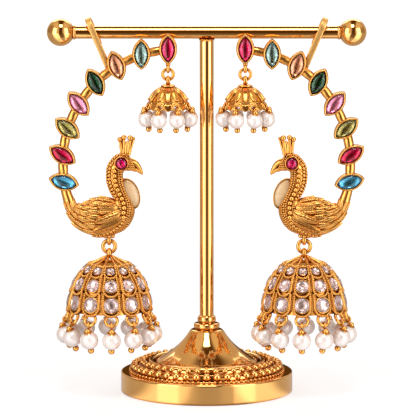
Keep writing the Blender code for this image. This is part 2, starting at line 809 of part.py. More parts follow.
def bell_loop(ring_centre, ring_radius, ring_wire, loop_wire):
    """The loop on top of a bell, round the bottom of its jump ring."""
    reach = link_reach(ring_wire, loop_wire)
    centre = ring_centre - Vector((0, 0, ring_radius))
    return torus(centre, Vector((1, 0, 0)), reach, loop_wire, 10, 5, loop_wire * 1.3)


def bell_apex(ring_centre, ring_radius, ring_wire, loop_wire):
    """The top of a bell, a little above the middle of its loop's lower wire."""
    reach = link_reach(ring_wire, loop_wire)
    return ring_centre - Vector((0, 0, ring_radius + reach - EMBED))


def large_apex():
    return bell_apex(large_ring_centre(), LARGE_RING_RADIUS, LARGE_RING_WIRE, LARGE_LOOP_WIRE)


def small_apex():
    return bell_apex(small_ring_centre(), SMALL_RING_RADIUS, SMALL_RING_WIRE, SMALL_LOOP_WIRE)


def column_angle(column, columns, turn):
    """The direction of one column, counted from the front of the bell."""
    return math.radians(-90.0 + turn + 360.0 * column / columns)


def bell_ring(apex, radius, drop, rib_width):
    """Two points a column round the large bell, at the edges of the ribs between columns."""
    points = []
    rib = min(0.25, rib_width / radius / math.tau * LARGE_COLUMNS / 2)
    for column in range(LARGE_COLUMNS):
        for share in (rib - 0.5, 0.5 - rib):
            angle = column_angle(column + share, LARGE_COLUMNS, LARGE_TURN)
            across = Vector((math.cos(angle), math.sin(angle), 0)) * radius
            points.append(apex + across - Vector((0, 0, drop)))
    return points


def scalloped_ring(apex, radius, drop, rib_width):
    """Three points a column round a lower edge, raised in the middle of each rib."""
    flat = bell_ring(apex, radius, drop, rib_width)
    points = []
    for column in range(LARGE_COLUMNS):
        angle = column_angle(column - 0.5, LARGE_COLUMNS, LARGE_TURN)
        across = Vector((math.cos(angle), math.sin(angle), 0)) * radius
        points.append(apex + across - Vector((0, 0, drop - SCALLOP)))
        points += flat[column * 2 : column * 2 + 2]
    return points


def inner_ring(apex, radius, drop):
    """One point a column inside the bell, in the middle of each rib."""
    points = []
    for column in range(LARGE_COLUMNS):
        angle = column_angle(column - 0.5, LARGE_COLUMNS, LARGE_TURN)
        across = Vector((math.cos(angle), math.sin(angle), 0)) * radius
        points.append(apex + across - Vector((0, 0, drop)))
    return points


def set_stone(points, faces, index):
    """Puts an eight-sided stone with a flat table on one four-sided face of the bell."""
    width = BELL_STONE_WIDTH
    height = BELL_STONE_HEIGHT
    corners = faces[index]
    places = [points[i] for i in corners]
    centre = sum(places, Vector()) / 4
    sideways = (places[1] - places[0] + places[2] - places[3]).normalized()
    normal = sideways.cross(places[3] - places[0]).normalized()
    upward = normal.cross(sideways)
    if (centre - Vector((large_apex().x, large_apex().y, centre.z))).dot(normal) < 0:
        normal = -normal
    first = len(points)
    for scale, rise in ((1.0, 0.0), (0.62, BELL_STONE_RISE)):
        for k in range(8):
            angle = math.radians(22.5 + 45 * k)
            across = sideways * math.cos(angle) * width / 2 * scale
            along = upward * math.sin(angle) * height / 2 * scale
            points.append(centre + across + along + normal * rise)
    quads = []
    for corner in range(4):
        offset = points[corners[corner]] - centre
        turn = math.atan2(offset.dot(upward), offset.dot(sideways))
        quads.append(int(turn % math.tau // (math.pi / 2)))
    faces[index] = [first + 8 + k for k in range(8)]
    for k in range(8):
        faces.append([first + k, first + (k + 1) % 8, first + 8 + (k + 1) % 8, first + 8 + k])
    for quarter in range(4):
        corner = corners[quads.index(quarter)]
        following = corners[quads.index((quarter + 1) % 4)]
        low = first + quarter * 2
        faces.append([corner, low, low + 1])
        faces.append([corner, low + 1, first + (quarter * 2 + 2) % 8, following])


def large_bell_shell(apex):
    """Pierced cap and three stepped tiers with scalloped lower edges, over a hollow inside."""
    wall = LARGE_DOME_WALL
    hub = SPOKE_WIDTH * 1.6
    cap_radius = BELL_TIERS[0][0] * LARGE_DOME_RADIUS
    cap_drop = BELL_TIERS[0][1] * LARGE_DOME_HEIGHT
    rings = [
        bell_ring(apex, hub * 0.6, 0.0, SPOKE_WIDTH),
        bell_ring(apex, hub, wall / 2, SPOKE_WIDTH),
    ]
    for top_radius, top_drop, low_radius, low_drop in BELL_TIERS:
        radius = top_radius * LARGE_DOME_RADIUS
        rings.append(bell_ring(apex, radius, top_drop * LARGE_DOME_HEIGHT, SPOKE_WIDTH))
        radius = low_radius * LARGE_DOME_RADIUS
        drop = low_drop * LARGE_DOME_HEIGHT
        rings.append(scalloped_ring(apex, radius, drop, RIB_WIDTH))
    rings.append(scalloped_ring(apex, LARGE_DOME_RADIUS - wall, LARGE_DOME_HEIGHT, RIB_WIDTH))
    for top_radius, top_drop, _, _ in reversed(BELL_TIERS[1:]):
        radius = top_radius * LARGE_DOME_RADIUS - wall
        rings.append(inner_ring(apex, radius, top_drop * LARGE_DOME_HEIGHT + wall / 2))
    rings.append(bell_ring(apex, cap_radius - wall / 2, cap_drop + wall, SPOKE_WIDTH))
    rings.append(bell_ring(apex, hub, wall * 1.5, SPOKE_WIDTH))
    points, faces = loft(rings)
    counts = [max(len(a), len(b)) for a, b in zip(rings, rings[1:])]
    starts = [sum(counts[:k]) for k in range(len(counts))]
    inner_cap = starts[-1]
    outer_cap = starts[1]
    opened = []
    for column in range(LARGE_COLUMNS):
        outer = faces[outer_cap + column * 2]
        inner = faces[inner_cap + column * 2]
        opened += [outer_cap + column * 2, inner_cap + column * 2]
        matching = [inner[3], inner[2], inner[1], inner[0]]
        for k in range(4):
            faces.append([outer[k], outer[(k + 1) % 4], matching[(k + 1) % 4], matching[k]])
    lowest_tier = starts[2 * len(BELL_TIERS)]
    for column in range(LARGE_COLUMNS):
        set_stone(points, faces, lowest_tier + column * 3 + 1)
    faces = [face for k, face in enumerate(faces) if k not in opened]
    return points, faces


def large_bell():
    apex = large_apex()
    ring = large_ring_centre()
    shells = [large_bell_shell(apex)]
    shells.append(bell_loop(ring, LARGE_RING_RADIUS, LARGE_RING_WIRE, LARGE_LOOP_WIRE))
    pivot = ring - Vector((0, 0, LARGE_RING_RADIUS))
    place_pair("large_jhumka_dome", fused("large_dome", shells), pivot, antique_gold())


def small_band_levels(apex):
    top = apex.z - SMALL_DOME_HEIGHT
    return top, top - SMALL_BAND_HEIGHT


def fluted_ring(apex, radius, height, count, flute):
    """A ring round the small bell, whose points stand out by turns."""
    points = []
    for k in range(count):
        angle = math.tau * k / count
        reach = radius + (flute if k % 2 else -flute) * radius / SMALL_DOME_RADIUS
        points.append(apex + Vector((math.cos(angle) * reach, math.sin(angle) * reach, height)))
    return points


def small_bell():
    """Fluted dome with a collar, over a flared band that is pierced for the pearls."""
    apex = small_apex()
    ring = small_ring_centre()
    profile = [(r * SMALL_DOME_RADIUS, -z * SMALL_DOME_HEIGHT) for r, z in SMALL_PROFILE]
    wall = SMALL_DOME_WALL
    inner = [(r - wall, z + wall * 0.3) for r, z in reversed(profile[4:-1])]
    rings = [fluted_ring(apex, r, z, SMALL_FLUTES, 0.0) for r, z in profile[:4]]
    rings += [fluted_ring(apex, r, z, SMALL_FLUTES * 2, FLUTE_DEPTH) for r, z in profile[4:]]
    top, low = small_band_levels(apex)
    axis = Vector((apex.x, apex.y, 0))
    outer_top = SMALL_DOME_RADIUS - BAND_STEP
    outer_low = outer_top + SMALL_BAND_FLARE
    for radius, height in ((outer_top, top), (outer_low, low), (outer_low - wall, low)):
        rings.append(fluted_ring(apex, radius, height - apex.z, SMALL_COLUMNS * 2, 0.0))
    rings.append(fluted_ring(apex, outer_top - wall, -SMALL_DOME_HEIGHT, SMALL_FLUTES, 0.0))
    rings += [fluted_ring(apex, r, z, SMALL_FLUTES, 0.0) for r, z in inner]
    dome = loft(rings)
    holes = []
    for column in range(SMALL_COLUMNS):
        angle = column_angle(column + 0.5, SMALL_COLUMNS, 0.0)
        outward = Vector((math.cos(angle), math.sin(angle), 0))
        sideways = Vector((-math.sin(angle), math.cos(angle), 0))
        middle = axis + Vector((0, 0, (top + low) / 2))
        rings = []
        for reach in (outer_top - wall * 2, outer_low + wall):
            across = sideways * SMALL_BAND_HOLE
            upward = Vector((0, 0, SMALL_BAND_HOLE))
            rings.append(ellipse(middle + outward * reach, across, upward, 6, HOLE_TURN))
        holes.append(loft(rings))
    loop = bell_loop(ring, SMALL_RING_RADIUS, SMALL_RING_WIRE, SMALL_LOOP_WIRE)
    mesh = fused("small_dome", [dome, loop], holes)
    pivot = ring - Vector((0, 0, SMALL_RING_RADIUS))
    place_pair("small_jhumka_dome", mesh, pivot, antique_gold())


def hanging_pearl(axis, angle, start_radius, start_z, below, circle, top, radius):
    """A bent hanger that widens into a pearl of ten sides."""
    outward = Vector((math.cos(angle), math.sin(angle), 0))
    sideways = Vector((-math.sin(angle), math.cos(angle), 0))
    up = Vector((0, 0, 1))
    route = (
        (start_radius, start_z, outward),
        (start_radius, below, outward + up),
        (circle, top - EMBED, outward),
    )
    rings = []
    for reach, height, across in route:
        middle = axis + outward * reach + up * height
        rings.append(ellipse(middle, across.normalized() * FRINGE_WIRE, sideways * FRINGE_WIRE, 5))
    centre = axis + outward * circle + up * (top - radius)
    for degrees in (45, 90, 135):
        turn = math.radians(degrees)
        middle = centre + up * radius * math.cos(turn)
        size = radius * math.sin(turn)
        rings.append(ellipse(middle, outward * size, sideways * size, 10))
    rings.append([centre - up * radius])
    return loft(rings)


def fringe(apex, columns, turn, rim_z, inner_radius, pearl_circle, pearl_z, pearl_radius):
    """A hidden wire inside the rim, with a hanger and a pearl below each column."""
    axis = Vector((apex.x, apex.y, 0))
    wire_radius = inner_radius - RIM_CLEARANCE - FRINGE_WIRE
    wire_z = rim_z + RIM_STEP
    rim_wire = []
    for across, rise in ((-1, -1), (1, -1), (1, 1), (-1, 1)):
        reach = wire_radius + across * FRINGE_WIRE
        rim_wire.append((reach, wire_z + rise * FRINGE_WIRE))
    shells = [lathe(rim_wire, columns, axis, closed=True, turn=column_angle(0, columns, turn))]
    below = rim_z - GAP * 1.5 - FRINGE_WIRE
    pearl_top = pearl_z + pearl_radius
    for column in range(columns):
        angle = column_angle(column, columns, turn)
        hanger = (wire_radius, wire_z, below, pearl_circle)
        shells.append(hanging_pearl(axis, angle, *hanger, pearl_top, pearl_radius))
    return fused("fringe", shells)


def pearl_fringes():
    apex = large_apex()
    rim_z = apex.z - LARGE_DOME_HEIGHT
    inner = (LARGE_DOME_RADIUS - LARGE_DOME_WALL) * math.cos(math.pi / LARGE_COLUMNS / 3)
    circle = LARGE_DOME_RADIUS + LARGE_PEARL_REACH
    pearl_z = rim_z - LARGE_PEARL_DROP
    mesh = fringe(
        apex, LARGE_COLUMNS, LARGE_TURN, rim_z, inner, circle, pearl_z, LARGE_PEARL_RADIUS
    )
    pivot = large_ring_centre() - Vector((0, 0, LARGE_RING_RADIUS))
    place_pair("large_pearl_fringe", mesh, pivot, pearl_white())
    apex = small_apex()
    _, rim_z = small_band_levels(apex)
    outer = SMALL_DOME_RADIUS - BAND_STEP + SMALL_BAND_FLARE
    inner = (outer - SMALL_DOME_WALL - EMBED) * math.cos(math.pi / 16)
    mesh = fringe(
        apex,
        SMALL_COLUMNS,
        180.0 / SMALL_COLUMNS,
        rim_z,
        inner,
        outer + SMALL_PEARL_REACH,
        rim_z - SMALL_PEARL_DROP,
        SMALL_PEARL_RADIUS,
    )
    pivot = small_ring_centre() - Vector((0, 0, SMALL_RING_RADIUS))
    place_pair("small_pearl_fringe", mesh, pivot, pearl_white())


def build():
    for thing in list(bpy.data.objects):
        bpy.data.objects.remove(thing)
    stand_base_disc()
    stand_rings()
    foot_top = stand_foot()
    stand_post(foot_top)
    stand_crossbar()
    stand_end_balls()
    cuff_frame()
    marquise_stones()
    peacock()
    eye_stone()
    moonstone()
    jump_rings()
    large_bell()
    small_bell()
    pearl_fringes()


build()
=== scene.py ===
"""The dressed look of a pair of peacock ear cuffs with jhumka bells on a T-bar stand.

Lengths in the tables are millimetres. The left cuff is modelled, and the right one is its mirror image.
"""

import math
from collections import namedtuple

import bpy
from mathutils import Matrix, Vector


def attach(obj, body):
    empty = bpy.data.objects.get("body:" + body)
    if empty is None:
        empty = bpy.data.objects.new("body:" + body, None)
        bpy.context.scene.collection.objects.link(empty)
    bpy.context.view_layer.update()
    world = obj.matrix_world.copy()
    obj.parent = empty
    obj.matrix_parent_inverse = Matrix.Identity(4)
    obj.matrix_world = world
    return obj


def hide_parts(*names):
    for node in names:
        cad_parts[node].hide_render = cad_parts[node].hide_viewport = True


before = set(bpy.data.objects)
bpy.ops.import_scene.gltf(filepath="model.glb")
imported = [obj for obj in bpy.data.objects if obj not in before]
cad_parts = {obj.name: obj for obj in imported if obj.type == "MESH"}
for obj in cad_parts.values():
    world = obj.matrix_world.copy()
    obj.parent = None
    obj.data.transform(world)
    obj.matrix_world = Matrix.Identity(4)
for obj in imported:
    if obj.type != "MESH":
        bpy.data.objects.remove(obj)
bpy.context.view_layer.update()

MM = 0.001
ROOT = "stand_with_cuffs"

# Stand, in millimetres
LOWER_STEP_TOP = 8.5
UPPER_STEP_TOP = 10.5
BAR_Z = 137.4
BALL_X = 55.22
BALL_RADIUS = 5.2

# A bead's height to its width, and a ring's depth to its wire
BEAD_FLATNESS = 0.98
HOOP_DEPTH = 1.06

# Cuff, in millimetres and degrees
CUFF_Y = -4.0
ARC_CENTRE = (-11.4, 88.3)
ARC_RADIUS = 43.3
ARC_START = 94.2
ARC_STEP = 13.64
ARC_END = 198.0
BEZEL_BACK_Y = -2.75
HALF_SETTING = (5.9, 3.45)
STONE_NAMES = ("ruby", "grey", "peach", "emerald", "pink", "olive", "red", "aqua")
STONE_TILTS = (0.0, 0.0, 19.6, 28.7, 40.4, 51.0, 58.4, 77.0)
HOOK_LEAN = math.radians(23.1)
HOOK_ARC_ANGLE = 125.8
BIRD_SIZE = 38.0
EYE_PLACE = (-32.21, 88.41)
MOONSTONE_PLACE = (-29.29, 76.4)
MOONSTONE_TILT = math.radians(21.0)

# Bells, in millimetres
LARGE_AXIS = (-37.0, -4.0)
SMALL_AXIS = (-14.571, -4.5)


def deselect():
    if bpy.context.mode != "OBJECT":
        bpy.ops.object.mode_set(mode="OBJECT")
    bpy.ops.object.select_all(action="DESELECT")


def only(piece):
    """Makes one piece the selected and active one."""
    deselect()
    piece.select_set(True)
    bpy.context.view_layer.objects.active = piece


def settle(name):
    """Leaves edit mode and puts the piece's place into its mesh."""
    if bpy.context.mode != "OBJECT":
        bpy.ops.object.mode_set(mode="OBJECT")
    piece = bpy.context.active_object
    piece.name = name
    bpy.ops.object.transform_apply(location=True, rotation=True, scale=True)
    return piece


def face_out():
    """In edit mode: merges doubles and turns every face outwards."""
    bpy.ops.mesh.select_all(action="SELECT")
    bpy.ops.mesh.remove_doubles(threshold=0.002 * MM)
    bpy.ops.mesh.normals_make_consistent(inside=False)


def smooth(piece, degrees=40):
    only(piece)
    bpy.ops.object.shade_smooth_by_angle(angle=math.radians(degrees))


def turned(name, profile, sides, centre=(0.0, 0.0)):
    """Draws a disc up an upright axis, ring by ring, from (radius, height) pairs in millimetres."""
    deselect()
    radius, height = profile[0]
    x, y = centre[0] * MM, centre[1] * MM
    bpy.ops.mesh.primitive_circle_add(
        vertices=sides, radius=radius * MM, fill_type="NGON",
        location=(x, y, height * MM), enter_editmode=True,
    )
    for (low, z0), (high, z1) in zip(profile, profile[1:]):
        bpy.ops.mesh.extrude_region_move(TRANSFORM_OT_translate={"value": (0, 0, (z1 - z0) * MM)})
        grow = high / low
        bpy.ops.transform.resize(value=(grow, grow, 1), center_override=(x, y, z1 * MM))
    face_out()
    return settle(name)


def drawn(name, sections, sides):
    """Draws a tube through sections in the cuff's plane.

    Each section is (x, z, angle in degrees of its wide axis, half width, half depth, y), in millimetres.
    """
    deselect()
    x0, z0, turn0, wide0, deep0, y0 = sections[0]
    centre = Vector((x0, y0, z0)) * MM
    bpy.ops.mesh.primitive_circle_add(
        vertices=sides, radius=MM, fill_type="NGON", location=centre, enter_editmode=True
    )
    bpy.ops.transform.resize(value=(wide0, deep0, 1), center_override=centre)
    bpy.ops.transform.rotate(value=math.radians(turn0), orient_axis="Y", center_override=centre)
    for x, z, turn, wide, deep, y in sections[1:]:
        target = Vector((x, y, z)) * MM
        bpy.ops.mesh.extrude_region_move(TRANSFORM_OT_translate={"value": target - centre})
        bpy.ops.transform.rotate(value=-math.radians(turn0), orient_axis="Y", center_override=target)
        bpy.ops.transform.resize(value=(wide / wide0, deep / deep0, 1), center_override=target)
        bpy.ops.transform.rotate(value=math.radians(turn), orient_axis="Y", center_override=target)
        centre, turn0, wide0, deep0 = target, turn, wide, deep
    face_out()
    return settle(name)


def bead(name, radius=1.0, segments=12, rings=8, centre=(0.0, 0.0, 0.0)):
    """A round bead, flattened a little where it is soldered down."""
    deselect()
    place = Vector(centre) * MM
    bpy.ops.mesh.primitive_uv_sphere_add(
        segments=segments, ring_count=rings, radius=radius * MM, location=place, enter_editmode=True
    )
    bpy.ops.transform.resize(value=(1, 1, BEAD_FLATNESS), center_override=place)
    return settle(name)


def hoop(name, radius, wire, sides=24, wire_sides=10):
    """A ring of wire round the Z axis, its wire a little deeper than wide."""
    deselect()
    bpy.ops.mesh.primitive_torus_add(
        major_segments=sides, minor_segments=wire_sides,
        major_radius=radius * MM, minor_radius=wire * MM,
    )
    bpy.ops.object.mode_set(mode="EDIT")
    bpy.ops.transform.resize(value=(1, 1, HOOP_DEPTH), center_override=(0, 0, 0))
    return settle(name)


def reshaped(piece, shape):
    """Moves every point of a piece by a rule that takes and gives a place in millimetres."""
    only(piece)
    for point in piece.data.vertices:
        point.co = Vector(shape(point.co / MM)) * MM
    return piece


def added_piece(name, mesh):
    """A new piece from a mesh or a curve."""
    piece = bpy.data.objects.new(name, mesh)
    bpy.context.scene.collection.objects.link(piece)
    return piece


def joined(name, *parts):
    """Several pieces as one mesh."""
    deselect()
    for part in parts:
        part.select_set(True)
    bpy.context.view_layer.objects.active = parts[0]
    bpy.ops.object.join()
    parts[0].name = name
    parts[0].data.name = name
    return parts[0]


def dropped(*templates):
    """Clears away templates once their copies are made."""
    for template in templates:
        bpy.data.objects.remove(template)


def twin_of(piece, name):
    """The mirror image of a left-hand piece, for the right-hand cuff."""
    only(piece)
    bpy.ops.object.duplicate()
    twin = bpy.context.active_object
    twin.name = name
    twin.data.name = name
    bpy.ops.object.mode_set(mode="EDIT")
    bpy.ops.mesh.select_all(action="SELECT")
    bpy.ops.transform.resize(value=(-1, 1, 1), center_override=(0, 0, 0))
    bpy.ops.mesh.flip_normals()
    bpy.ops.object.mode_set(mode="OBJECT")
    return twin


def dress(piece, finish):
    piece.data.materials.clear()
    piece.data.materials.append(finish)
    return piece


def turn_of(side, up, out):
    """A turn from three axes."""
    return Matrix((side, up, out)).transposed()


def round_bell(degrees):
    """Directions outward, sideways and upward at an angle round a bell."""
    angle = math.radians(degrees)
    out = Vector((math.cos(angle), math.sin(angle), 0))
    return out, Vector((-out.y, out.x, 0)), Vector((0, 0, 1))


def stand_piece(piece, finish, slot, *nodes):
    dress(piece, finish)
    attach(piece, ROOT)
    if nodes:
        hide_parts(*nodes)


def cuff_pair(piece, finish, slot, body, *nodes):
    """Sets a left-hand piece and its mirror image on their bodies. A dressed piece has None as its finish."""
    name = piece.name
    piece.name = piece.data.name = "left_" + name
    if finish:
        dress(piece, finish)
    twin = twin_of(piece, "right_" + name)
    for side, made in (("left_", piece), ("right_", twin)):
        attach(made, ROOT if body == ROOT else side + body)
        if nodes:
            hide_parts(*[side + node for node in nodes])


def feed(tree, socket, value):
    """Links a socket to another node's output, or sets its value. Colours are given as three parts."""
    if isinstance(value, bpy.types.NodeSocket):
        tree.links.new(value, socket)
    elif socket.type == "RGBA":
        socket.default_value = (*value, 1)
    else:
        socket.default_value = value


def put(tree, kind, values=(), **options):
    """Adds a node, sets its options, and feeds its sockets, which are named or numbered."""
    made = tree.nodes.new(kind)
    for name, value in options.items():
        setattr(made, name, value)
    for name, value in dict(values).items():
        feed(tree, made.inputs[name], value)
    return made


def worked(tree, kind, *values):
    """One step of arithmetic."""
    return put(tree, "ShaderNodeMath", enumerate(values), operation=kind).outputs["Value"]


def added(tree, first, second):
    return worked(tree, "ADD", first, second)


def less(tree, first, second):
    return worked(tree, "SUBTRACT", first, second)


def times(tree, first, second):
    return worked(tree, "MULTIPLY", first, second)


def ramped(tree, value, low, high, to_low=0.0, to_high=1.0, **options):
    """A value spread from one range to another."""
    values = {"Value": value, "From Min": low, "From Max": high, "To Min": to_low, "To Max": to_high}
    return put(tree, "ShaderNodeMapRange", values, **options).outputs["Result"]


def eased(tree, value, low, high):
    """A share that rises softly from 0 to 1 between two bounds."""
    return ramped(tree, value, low, high, interpolation_type="SMOOTHSTEP")


def blended(tree, share, first, second):
    """A colour between two colours."""
    values = {"Factor": share, "A": first, "B": second}
    return put(tree, "ShaderNodeMix", values, data_type="RGBA").outputs["Result"]


def on_object(tree):
    return put(tree, "ShaderNodeTexCoord").outputs["Object"]


def clouded(tree, place, scale, detail=2.0):
    """Soft noise from 0 to 1."""
    values = {"Vector": place, "Scale": scale, "Detail": detail}
    return put(tree, "ShaderNodeTexNoise", values).outputs["Fac"]


def finish_of(name, recipe):
    """A material. The recipe takes its node tree and gives the values of its surface shader."""
    finish = bpy.data.materials.new(name)
    finish.use_nodes = True
    tree = finish.node_tree
    shader = tree.nodes["Principled BSDF"]
    for socket, value in recipe(tree).items():
        feed(tree, shader.inputs[socket], value)
    return finish


def gold_surface_group():
    """Colour, roughness and fine grain of plated gold, from a light and a deep tone."""
    tree = bpy.data.node_groups.new("gold_surface", "ShaderNodeTree")
    sockets = (
        ("Light Tone", "INPUT", "Color"), ("Deep Tone", "INPUT", "Color"), ("Patch Scale", "INPUT", "Float"),
        ("Smoothest", "INPUT", "Float"), ("Roughest", "INPUT", "Float"),
        ("Colour", "OUTPUT", "Color"), ("Roughness", "OUTPUT", "Float"), ("Grain", "OUTPUT", "Float"),
    )
    for name, side, kind in sockets:
        tree.interface.new_socket(name, in_out=side, socket_type="NodeSocket" + kind)
    given = tree.nodes.new("NodeGroupInput").outputs
    place = on_object(tree)
    patches = clouded(tree, place, given["Patch Scale"], 3.0)
    grain = clouded(tree, place, times(tree, given["Patch Scale"], 7.0), 5.0)
    put(tree, "NodeGroupOutput", {
        "Colour": blended(tree, patches, given["Deep Tone"], given["Light Tone"]),
        "Roughness": ramped(tree, grain, 0.0, 1.0, given["Smoothest"], given["Roughest"]),
        "Grain": grain,
    })
    return tree


GOLD_SURFACE = gold_surface_group()
# The dark tone that the occlusion mask blends into gold recesses: painted shade, partly antique patina.
DEEP_PATINA_AND_SHADE = (0.24, 0.05, 0.0)


def gold(name, light, deep, scale, smoothest, roughest, grain, shade_and_patina=DEEP_PATINA_AND_SHADE, reach=0.8):
    """A plated gold finish, darkened in its recesses by an occlusion mask: painted shade, and on the cuffs'
    antique gold partly patina. Grain and reach are in millimetres.
    """
    def recipe(tree):
        surface = put(tree, "ShaderNodeGroup", {
            "Light Tone": light, "Deep Tone": deep, "Patch Scale": scale,
            "Smoothest": smoothest, "Roughest": roughest,
        }, node_tree=GOLD_SURFACE).outputs
        # Occlusion pulls the colour toward the recess tone where surfaces are enclosed: painted shade, with some
        # patina on the cuffs.
        occlusion_shade = put(tree, "ShaderNodeAmbientOcclusion", {"Distance": reach * MM}, samples=8)
        unshaded_share = ramped(tree, occlusion_shade.outputs["AO"], 0.38, 0.95)
        bump = put(tree, "ShaderNodeBump", {
            "Strength": 1.0, "Distance": grain * MM, "Height": surface["Grain"],
        })
        return {
            "Metallic": 1.0, "Base Color": blended(tree, unshaded_share, shade_and_patina, surface["Colour"]),
            "Roughness": surface["Roughness"], "Normal": bump.outputs["Normal"],
        }

    return finish_of(name, recipe)


def feather_gold():
    """Antique gold whose barbs follow each leaf's own length and breadth."""
    # Its dark recess tone, laid in by occlusion between the leaves, is painted shade, partly patina.
    finish = gold(
        "feathered_gold", (0.96, 0.53, 0.16), (0.80, 0.38, 0.08), 300.0, 0.22, 0.32, 0.003,
        shade_and_patina=(0.20, 0.035, 0.0), reach=0.7,
    )
    tree = finish.node_tree
    leaf = put(tree, "ShaderNodeSeparateXYZ", {"Vector": put(tree, "ShaderNodeUVMap").outputs["UV"]}).outputs
    off_rib = worked(tree, "ABSOLUTE", less(tree, leaf["Y"], 0.5))
    slant = worked(tree, "MULTIPLY_ADD", off_rib, -0.7, leaf["X"])
    barbs = worked(tree, "SINE", times(tree, slant, 60.0))
    relief = put(tree, "ShaderNodeBump", {"Strength": 0.8, "Distance": 0.010 * MM, "Height": barbs})
    feed(tree, tree.nodes["Bump"].inputs["Normal"], relief.outputs["Normal"])
    return finish


def brushed_gold():
    """Gold brushed along the hook's length."""
    finish = gold("brushed_gold", (0.98, 0.60, 0.22), (0.90, 0.50, 0.14), 200.0, 0.36, 0.48, 0.02, SOFT_PATINA_AND_SHADE)
    tree = finish.node_tree
    along = put(tree, "ShaderNodeMapping", {
        "Vector": on_object(tree), "Rotation": (0, -HOOK_LEAN, 0), "Scale": (6000, 3000, 120),
    })
    feed(tree, tree.nodes["Bump"].inputs["Height"], clouded(tree, along.outputs["Vector"], 1.0))
    return finish


def glass_and_foil(name, tint, foil):
    """Clear tinted glass, and the bright foil behind it."""
    def glass(tree):
        return {"Base Color": tint, "Roughness": 0.03, "IOR": 1.5, "Transmission Weight": 1.0}

    def backing(tree):
        clouds = clouded(tree, on_object(tree), 260.0, 1.0)
        dim = tuple(part * 0.7 for part in foil)
        return {"Metallic": 0.85, "Roughness": 0.2, "Base Color": blended(tree, clouds, dim, foil)}

    return finish_of(name + "_glass", glass), finish_of(name + "_foil", backing)


def glossy(name, light, deep, scale, roughness, below, below_colour, lustre):
    """A soft glowing finish with a clear gloss, as on pearls and cabochons."""
    def recipe(tree):
        return {
            "Base Color": blended(tree, clouded(tree, on_object(tree), scale), deep, light),
            "Roughness": roughness, "Metallic": lustre, "Coat Weight": 0.6, "Coat Roughness": 0.06,
            "Subsurface Weight": below, "Subsurface Radius": below_colour, "Subsurface Scale": 1.2 * MM,
        }

    return finish_of(name, recipe)


# A lighter recess tone for the occlusion mask: painted shade, partly patina.
SOFT_PATINA_AND_SHADE = (0.30, 0.075, 0.002)
# The polished stand's darker recess tone is painted shade.
POLISHED = gold(
    "polished_gold", (0.95, 0.56, 0.20), (0.88, 0.47, 0.14), 60.0, 0.06, 0.12, 0.0, (0.45, 0.15, 0.01), 1.5,
)
SATIN = gold("satin_gold", (0.95, 0.54, 0.17), (0.82, 0.41, 0.09), 240.0, 0.20, 0.30, 0.006, SOFT_PATINA_AND_SHADE)
ANTIQUE = gold("antique_gold", (0.94, 0.51, 0.15), (0.76, 0.35, 0.06), 300.0, 0.16, 0.28, 0.006)
BEADED = gold("granule_gold", (0.95, 0.52, 0.15), (0.80, 0.38, 0.08), 300.0, 0.09, 0.18, 0.0)
FEATHERED = feather_gold()
BRUSHED = brushed_gold()
PEARL = glossy("pearl", (0.90, 0.86, 0.87), (0.86, 0.78, 0.76), 120.0, 0.28, 0.12, (1.0, 0.7, 0.6), 0.22)
MOONSTONE = glossy("moonstone", (0.78, 0.58, 0.36), (0.60, 0.38, 0.17), 260.0, 0.28, 0.25, (1.0, 0.8, 0.5), 0.0)

STONE_TONES = {
    "ruby": ((0.93, 0.12, 0.50), (0.76, 0.005, 0.28)),
    "red": ((0.92, 0.10, 0.44), (0.70, 0.005, 0.22)),
    "grey": ((0.84, 0.93, 0.92), (0.34, 0.46, 0.43)),
    "peach": ((1.0, 0.84, 0.74), (0.85, 0.46, 0.28)),
    "emerald": ((0.10, 0.42, 0.26), (0.01, 0.20, 0.11)),
    "pink": ((1.0, 0.82, 0.90), (0.92, 0.42, 0.58)),
    "olive": ((0.92, 0.90, 0.68), (0.44, 0.40, 0.14)),
    "aqua": ((0.66, 0.90, 0.98), (0.13, 0.46, 0.64)),
    "crystal": ((1.0, 0.95, 0.95), (0.92, 0.78, 0.78)),
}
GLASS, FOIL = {}, {}
for stone_name, (tint, foil_tone) in STONE_TONES.items():
    GLASS[stone_name], FOIL[stone_name] = glass_and_foil(stone_name, tint, foil_tone)


def copies_tree():
    """Geometry nodes that set copies of one piece on points, each with its own turn and size."""
    tree = bpy.data.node_groups.new("set_copies", "GeometryNodeTree")
    sockets = (("Points", "INPUT", "Geometry"), ("Piece", "INPUT", "Object"), ("Copies", "OUTPUT", "Geometry"))
    for name, side, kind in sockets:
        tree.interface.new_socket(name, in_out=side, socket_type="NodeSocket" + kind)
    given = tree.nodes.new("NodeGroupInput").outputs

    def stored(name):
        kind = "GeometryNodeInputNamedAttribute"
        return put(tree, kind, {"Name": name}, data_type="FLOAT_VECTOR").outputs["Attribute"]

    piece = put(tree, "GeometryNodeObjectInfo", {"Object": given["Piece"]})
    copies = put(tree, "GeometryNodeInstanceOnPoints", {
        "Points": given["Points"], "Instance": piece.outputs["Geometry"],
        "Rotation": stored("turn"), "Scale": stored("size"),
    })
    real = put(tree, "GeometryNodeRealizeInstances", {"Geometry": copies.outputs["Instances"]})
    put(tree, "NodeGroupOutput", {"Copies": real.outputs["Geometry"]})
    return tree


COPIES_TREE = copies_tree()
PIECE_INPUT = "Socket_1"


